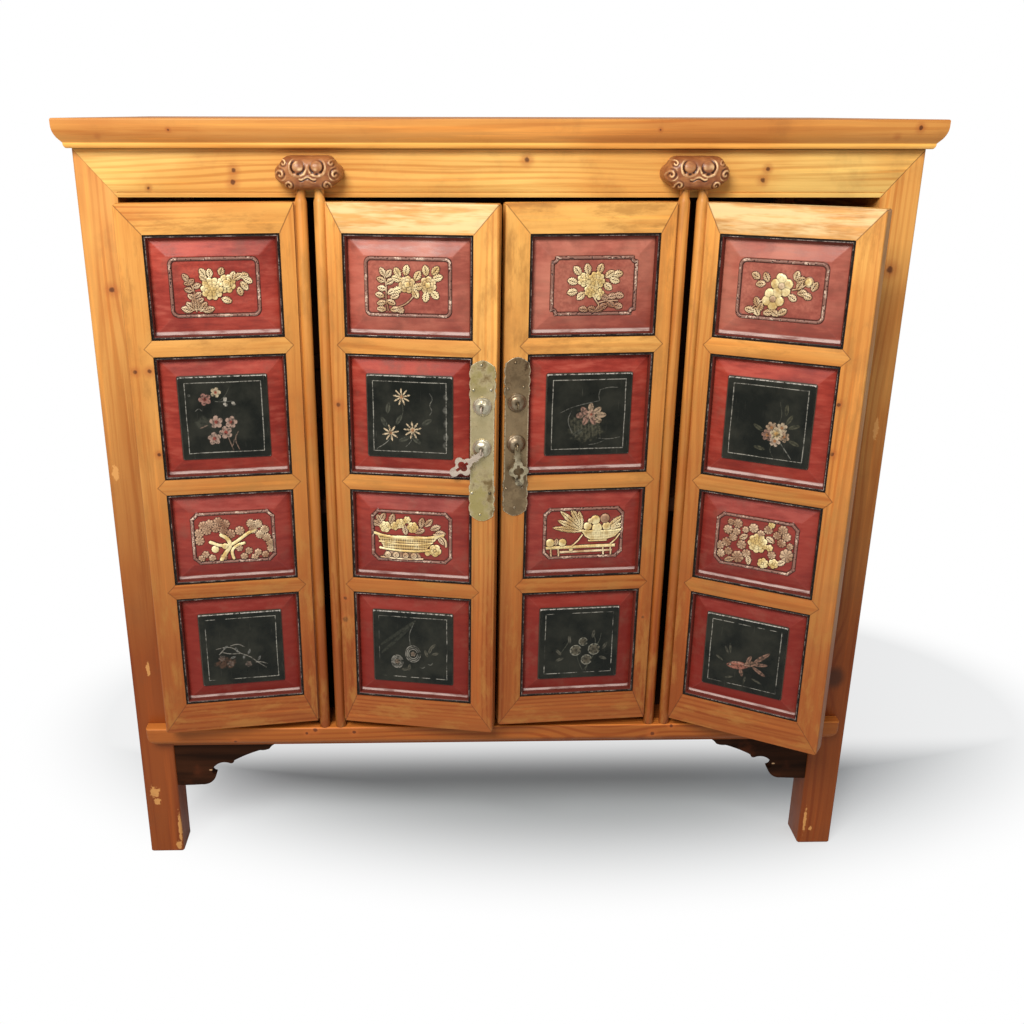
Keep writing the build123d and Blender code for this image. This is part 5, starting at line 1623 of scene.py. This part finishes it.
def nails(leaf, material):
    """Domed nail heads that hold the plate: height = 1.5 times the square root of 1 - u^2."""
    rng = seeded(leaf.name + "_nails")
    u = np.linspace(0, 1, 7)
    depths = np.concatenate((PLATE_FACE - 1.5 * dome(u * u), [PLATE_FACE + 0.9] * 2))
    heads = []
    for l, z in NAILS[leaf.name]:
        radii = np.concatenate((u, [0.8, 0])) * rng.uniform(2.0, 2.5)
        heads.append(turned(leaf, l, z, radii, depths, 18, rng))
    obj = round_piece(leaf.name + "_nails", heads)
    outward(obj, weld=True)
    return finish_piece(obj, leaf.body, material)


def staples(leaf, material):
    """Two wire loops: out of the boss, round a short bend, down and back in.

    Each is a circle of the wire's radius carried along the bend's middle line; across the line it
    is spanned by the leaf's own l and by the line's normal.
    """
    bend = 1.6
    drop = STAPLE_DROP / 2
    turn = np.linspace(pi / 2, 0, 8)
    arc_t = STAPLE_OUT + bend - bend * np.cos(turn)
    arc_z = drop - bend + bend * np.sin(turn)
    t = np.concatenate((np.linspace(-6, STAPLE_OUT + bend, 8)[:-1], arc_t))
    z = np.concatenate((np.full(7, drop), arc_z))
    t, z = np.concatenate((t, t[::-1])), np.concatenate((z, -z[::-1]))
    t = np.concatenate((t[:1], t, t[-1:]))
    z = np.concatenate((z[:1], z, z[-1:]))
    run_t, run_z = np.gradient(t), np.gradient(z)
    length = np.maximum(np.hypot(run_t, run_z), 1e-6)
    wire = np.full(len(t), STAPLE_WIRE)
    wire[[0, -1]] = 0
    angle = np.linspace(0, 2 * pi, 16, endpoint=False)
    wires = []
    for level in BOSS_LEVELS:
        out = wire[:, None] * np.sin(angle)
        wires.append(leaf.place(PLATE_MIDDLE[0] + wire[:, None] * np.cos(angle),
            t[:, None] - out * (run_z / length)[:, None],
            level - drop + z[:, None] + out * (run_t / length)[:, None]))
    obj = round_piece(leaf.name + "_staples_bent", wires)
    outward(obj, weld=True)
    return finish_piece(obj, leaf.body, material, [leaf.name + "_staples"])


def brass_fittings():
    """Plate, bosses, nails and staples of each inner leaf, and its drop pull."""
    for name, plate, dome, ring in (("inner_left", PALE_BRASS, PALE_DOME, GREY_PULL),
            ("inner_right", DARK_BRASS, DARK_DOME, DARK_PULL)):
        leaf = LEAVES[name]
        slot = "pale_brass" if name == "inner_left" else "dark_brass"
        lock_plate(leaf, plate)
        bosses(leaf, dome)
        nails(leaf, dome)
        staples(leaf, ring)
        worked_copy(name + "_drop_pull", ring, 0.75, steps=3)


def brass_material(name, bright, dull, stain, patina, roughness=0.4, metallic=0.75, greened=0.6):
    """Old brass: bright where rubbed, dull in blotches, stained dark in spots and pits; a plate's
    cut sides are near-black, painted contact shadow.
    """
    material, tree, shader = new_material(name, roughness, metallic=metallic)
    place = tree.place()
    broad = place.noise(26.0, 4.0, 0.6)
    patch = place.scaled((1, 1, 1), (4, 1, 7)).noise(48.0, 5.0, 0.65)
    fine = place.noise(420.0, 4.0, 0.7)
    colour = broad.ramp(0.38, 0.62).mix(bright, dull)
    high = place.parts()[2]
    ends = abs(high - BRASS_MIDDLE).ramp(0.03, 0.075, 0.15, 1.0)
    green = patch.ramp(0.42, 0.6) * ends
    colour = (green * greened).mix(colour, patina)
    colour = (patch.ramp(0.5, 0.34) * ends).mix(colour, stain)
    colour = (fine.ramp(0.56, 0.7) * 0.5).mix(colour, stain)
    nibbled = tree.attribute("edge") * fine.ramp(0.42, 0.52)
    colour = nibbled.mix(colour, (0.8, 0.7, 0.48))
    # near-black on the plate's cut sides: painted contact shadow
    colour = tree.attribute("edge").ramp(-0.1, -0.8).mix(colour, (0.03, 0.015, 0.008))
    colour = tree.attribute("pit").mix(colour, (0.02, 0.014, 0.008))
    shader["Base Color"] = colour
    shader["Roughness"] = patch.ramp(0.35, 0.65, roughness + 0.15, roughness - 0.08)
    add_bump(shader, fine * 0.5 + patch, 0.0007, 0.5)
    return material


PALE_BRASS = brass_material("pale_brass", (0.50, 0.41, 0.235), (0.42, 0.335, 0.18),
    (0.20, 0.135, 0.055), (0.38, 0.30, 0.075))
DARK_BRASS = brass_material("dark_brass", (0.31, 0.22, 0.12), (0.25, 0.17, 0.09),
    (0.075, 0.042, 0.02), (0.13, 0.08, 0.04))
PALE_DOME = brass_material("pale_dome", (0.66, 0.60, 0.46), (0.36, 0.31, 0.20), (0.10, 0.075, 0.04),
    (0.42, 0.37, 0.22), 0.34, 0.8)
DARK_DOME = brass_material("dark_dome", (0.40, 0.32, 0.22), (0.20, 0.145, 0.085),
    (0.045, 0.028, 0.016), (0.28, 0.21, 0.12), 0.34, 0.8)
GREY_PULL = brass_material("grey_pull", (0.52, 0.43, 0.35), (0.42, 0.34, 0.27), (0.20, 0.15, 0.11),
    (0.45, 0.38, 0.30), 0.5, 0.35)
DARK_PULL = brass_material("dark_pull", (0.60, 0.51, 0.34), (0.22, 0.165, 0.09),
    (0.035, 0.022, 0.012), (0.28, 0.22, 0.12), 0.3)


# ---- carved sockets on the header ----
SOCKET_X = 251.0
SOCKET_HALF = 44.5         # half its width
SOCKET_BOTTOM = 1025.0
SOCKET_DEPTH = 36.6
SOCKET_TOP = ((0, 41.5), (24, 41.5), (28, 40.9), (32, 38.6), (35, 34.5), (37, 31.2), (40, 29.4),
    (42.5, 26.8), (44, 23.6), (44.5, 20))
SOCKET_FOOT = ((0, 0), (14, 0), (20.5, 0.1), (24, 0.7), (28, 2.2), (34, 6.8), (38, 9.3), (42, 12.4),
    (44, 16.4), (44.5, 20))
SOCKET_PLAN = ((0, 1), (20, 1), (27, 0.985), (33, 0.93), (39, 0.81), (42.5, 0.62), (44, 0.35),
    (44.5, 0))


def socket_relief(x, z):
    """Height of the carving at x, z from the middle of the underside, in millimetres.

    Two domed eyes, each in a groove that is deepest below and open above; a lip that dips in the
    middle; a spiral on each side lobe and another at each lower corner.
    """
    height = np.zeros(x.shape)
    for side in (-1, 1):
        a, b = side * x - 12, z - 28.5
        far, angle = np.hypot(a, b), np.arctan2(b, a)
        below = 0.5 - 0.5 * np.cos(angle - 2 * pi / 3)
        height += np.where(far < 7.6, 1.6 * (1 - (far / 7.6) ** 2), 0)
        height -= 2.2 * np.exp(-((far - 8.4) / 1.0) ** 2) * (0.1 + 0.9 * below)
        height += 1.5 * np.exp(-((far - 11.1) / 1.5) ** 2) * below
        for u, v, reach, pitch in ((35.5, 19, 9.5, 6.4), (24, 5.5, 8, 5.6), (31, 33, 6, 6.0)):
            c, d = side * x - u, z - v
            ring, turn = np.hypot(c, d), np.arctan2(d, c)
            fade = smooth_step(reach - ring, 0, 2.5)
            height += 0.8 * np.cos(2 * pi * ring / pitch + turn) * fade
    lip = 12.5 + 1.6 * np.cos(np.abs(x) / 2.6)
    near = smooth_step(12.5 - np.abs(x), 0, 2.5)
    height -= 1.1 * np.exp(-((z - lip) / 0.8) ** 2) * near
    height += 0.9 * np.exp(-((z - lip - 2.3) / 1.4) ** 2) * near
    return height


def socket_piece(side):
    """Ruyi-shaped block that holds two poles' heads.

    A section across the block at x is a rounded box: z follows -cos, the depth sin, each raised
    to a power below one, between the outline's foot and top and out to the plan's depth. The
    carving is added to the depth where the section faces forward.
    """
    rng = seeded("socket" + side)
    x, turn = np.meshgrid(np.sin(np.linspace(-pi / 2, pi / 2, 150)) * SOCKET_HALF,
        np.linspace(0, pi, 96), indexing="ij")
    far = np.abs(x)
    foot = np.interp(far, *zip(*SOCKET_FOOT))
    top = np.interp(far, *zip(*SOCKET_TOP))
    depth = SOCKET_DEPTH * np.interp(far, *zip(*SOCKET_PLAN))
    facing = np.sin(turn)
    z = (foot + top) / 2 - (top - foot) / 2 * np.sign(np.cos(turn)) * np.abs(np.cos(turn)) ** 0.62
    carved = socket_relief(x, z) + 0.7 * (value_noise(x + 50, z + 50, 5, rng) - 0.5)
    carved_share = smooth_step(facing, 0.35, 0.8)
    y = depth * facing ** 0.42 + carved * carved_share * smooth_step(SOCKET_HALF - far, 0, 3)
    sign = -1 if side == "left" else 1
    places = np.stack((sign * SOCKET_X + x, FRONT_Y / MM - y, SOCKET_BOTTOM + z), axis=-1) * MM
    obj = round_piece("socket_" + side + "_carved", [places])
    point_values(obj, "hollow", (carved - soften(carved, 12)).ravel())
    outward(obj, weld=True)
    return finish_piece(obj, "carcass", SOCKET_WOOD, ["socket_" + side])


def socket_wood():
    """Old stained and varnished carving: near-black in its cuts, honey-coloured where rubbed."""
    material, tree, shader = new_material("socket_wood", 0.38, 0.12, 0.2, specular=0.3)
    place = tree.place()
    hollow = tree.attribute("hollow")
    patch = place.noise(60.0, 4.0, 0.6)
    fine = place.scaled((90, 500, 500)).noise(detail=3.0)
    colour = patch.ramp(0.35, 0.65).mix((0.37, 0.14, 0.045), (0.24, 0.075, 0.025))
    colour = (fine.ramp(0.5, 0.7) * 0.4).mix(colour, (0.14, 0.04, 0.015))
    colour = hollow.ramp(-0.05, -0.65, 0.0, 0.95).mix(colour, (0.035, 0.01, 0.005))
    rubbed = hollow.ramp(0.05, 0.45) * patch.ramp(0.42, 0.6, 0.25, 0.95)
    colour = rubbed.mix(colour, (0.8, 0.52, 0.26))
    shader["Base Color"] = colour
    add_bump(shader, fine, 0.0004, 0.5)
    return material


def bracket_wood():
    """Dark stained pine brackets, with a few nicks of old gilding on the curl."""
    material, tree, shader = new_material("bracket_wood", 0.6, specular=0.06)
    grain = tree.attribute("grain", "Vector")
    place = tree.place()
    streaks = grain.scaled((4, 60, 60)).noise(detail=4.0)
    colour = streaks.ramp(0.35, 0.7).mix((0.014, 0.005, 0.002), (0.04, 0.013, 0.005))
    colour = place.noise(20.0, 3.0).ramp(0.55, 0.75).mix(colour, (0.085, 0.022, 0.008))
    for side in (-1, 1):
        for x, z in ((449, 150), (444, 148.5)):
            spot = place.scaled((1, 1, 2.2)).vector("DISTANCE",
                (side * x * MM, FRONT_Y + 0.003, 2.2 * z * MM), "Value")
            colour = (spot.ramp(0.0034, 0.0018) * 0.8).mix(colour, (0.62, 0.38, 0.2))
    shader["Base Color"] = colour
    add_bump(shader, streaks, 0.0006, 0.6)
    return material


SOCKET_WOOD = socket_wood()
BRACKET = bracket_wood()


# ---- camera, floor and lights ----
CAMERA_FROM_POSTS = Vector((-0.0964, -1.6205, 1.1185))   # from the middle of the posts' front faces
CAMERA_PITCH = 21.953      # degrees down
CAMERA_YAW = 1.503         # degrees to the right
CAMERA_ROLL = 0.116
FOCAL_SHARE = 1171.64 / 1024    # focal length as a share of the picture's width
SENSOR = 36.0
PRINCIPAL_SHIFT = ((512 - 460.305) / 1024, (584.461 - 512) / 1024)


def make_camera(front_y):
    """Camera at the standing eye's view of the front, its picture plane shifted as in the view."""
    data = bpy.data.cameras.new("camera")
    data.sensor_fit = "HORIZONTAL"
    data.sensor_width = SENSOR
    data.lens = SENSOR * FOCAL_SHARE
    data.shift_x, data.shift_y = PRINCIPAL_SHIFT
    data.clip_start = 0.05
    camera = linked("camera", data)
    pitch, yaw, roll = (radians(a) for a in (CAMERA_PITCH, CAMERA_YAW, CAMERA_ROLL))
    forward = Vector((sin(yaw) * cos(pitch), cos(yaw) * cos(pitch), -sin(pitch)))
    level = Vector((cos(yaw), -sin(yaw), 0))
    upward = level.cross(forward)
    right = level * cos(roll) + upward * sin(roll)
    up = upward * cos(roll) - level * sin(roll)
    turn = Matrix((right, up, -forward)).transposed().to_4x4()
    camera.matrix_world = Matrix.Translation(CAMERA_FROM_POSTS + Vector((0, front_y, 0))) @ turn
    bpy.context.scene.camera = camera


def area_light(name, place, target, size, energy, colour):
    """Soft square lamp at a place, turned to a target."""
    data = bpy.data.lights.new(name, "AREA")
    data.shape = "RECTANGLE"
    data.size, data.size_y = size
    data.energy = energy
    data.color = colour
    lamp = linked(name, data)
    lamp.location = place
    lamp.rotation_euler = (Vector(target) - Vector(place)).to_track_quat("-Z", "Y").to_euler()


WORLD_LEVEL = 0.5               # light from all round; the camera sees it as 1
SHADOW_MIDDLE = (0.16, 0.28)    # middle and half sizes of the oval of floor that isn't white
SHADOW_REACH = (0.98, 0.62)


def make_world():
    """White world for the camera, dimmer for lighting the object."""
    world = bpy.data.worlds.new("world")
    bpy.context.scene.world = world
    world.use_nodes = True
    tree = Tree(world.node_tree)
    rays = tree.add("ShaderNodeLightPath")
    seen = rays["Is Camera Ray"].larger(rays["Is Transmission Ray"])
    strength = seen * (1.0 - WORLD_LEVEL) + WORLD_LEVEL
    background = tree.add("ShaderNodeBackground", {"Color": (1, 1, 1, 1), "Strength": strength})
    tree.add("ShaderNodeOutputWorld", {"Surface": background[0]})


def make_floor():
    """Pale floor that fades to white away from the cabinet, so only the soft shadow shows; under
    the cabinet's back half it is painted three-quarters white for the camera, painted light over
    the shadow there.
    """
    mesh = bpy.data.meshes.new("floor")
    half = 12.0    # metres
    mesh.from_pydata([(-half, -half, 0), (half, -half, 0), (half, half, 0), (-half, half, 0)], [],
        [(0, 1, 2, 3)])
    floor = linked("floor", mesh)
    material, tree, shader = new_material("floor", 0.9, specular=0.1)
    shader["Base Color"] = (0.54, 0.58, 0.61, 1)
    emit = tree.add("ShaderNodeEmission", {"Color": (1, 1, 1, 1), "Strength": 1.0})
    aside, back, _ = tree.place().parts()
    x = (aside - SHADOW_MIDDLE[0]) / SHADOW_REACH[0]
    y = (back - SHADOW_MIDDLE[1]) / SHADOW_REACH[1]
    far = tree.math("SQRT", x * x + y * y)
    rays = tree.add("ShaderNodeLightPath")
    # painted light: the floor under the cabinet's back half is made three-quarters white for the
    # camera, over the shadow there
    lit_under_back = back.ramp(FRONT_Y + 0.2, FRONT_Y + 0.36, 0.0, 0.75)
    pale = far.ramp(0.55, 1.1).larger(lit_under_back)
    white = pale * rays["Is Camera Ray"]
    output = next(node for node in tree.tree.nodes if node.type == "OUTPUT_MATERIAL")
    mixed = tree.add("ShaderNodeMixShader", {0: white, 1: shader[0], 2: emit[0]})
    tree.tree.links.new(mixed[0].socket, output.inputs["Surface"])
    floor.data.materials.append(material)


def main():
    make_camera(FRONT_Y)
    make_world()
    make_floor()
    area_light("key", place=(-0.95, FRONT_Y - 2.3, 2.6), target=(0.1, FRONT_Y, 0.8),
        size=(1.4, 1.2), energy=106, colour=(1.0, 0.96, 0.90))
    bpy.context.scene.view_settings.view_transform = "Standard"
    work_carcass()
    for leaf in LEAVES.values():
        work_leaf(leaf)
        panel_pieces(leaf)
        bead_frame(leaf)
    brass_fittings()
    for side in ("left", "right"):
        socket_piece(side)


main()
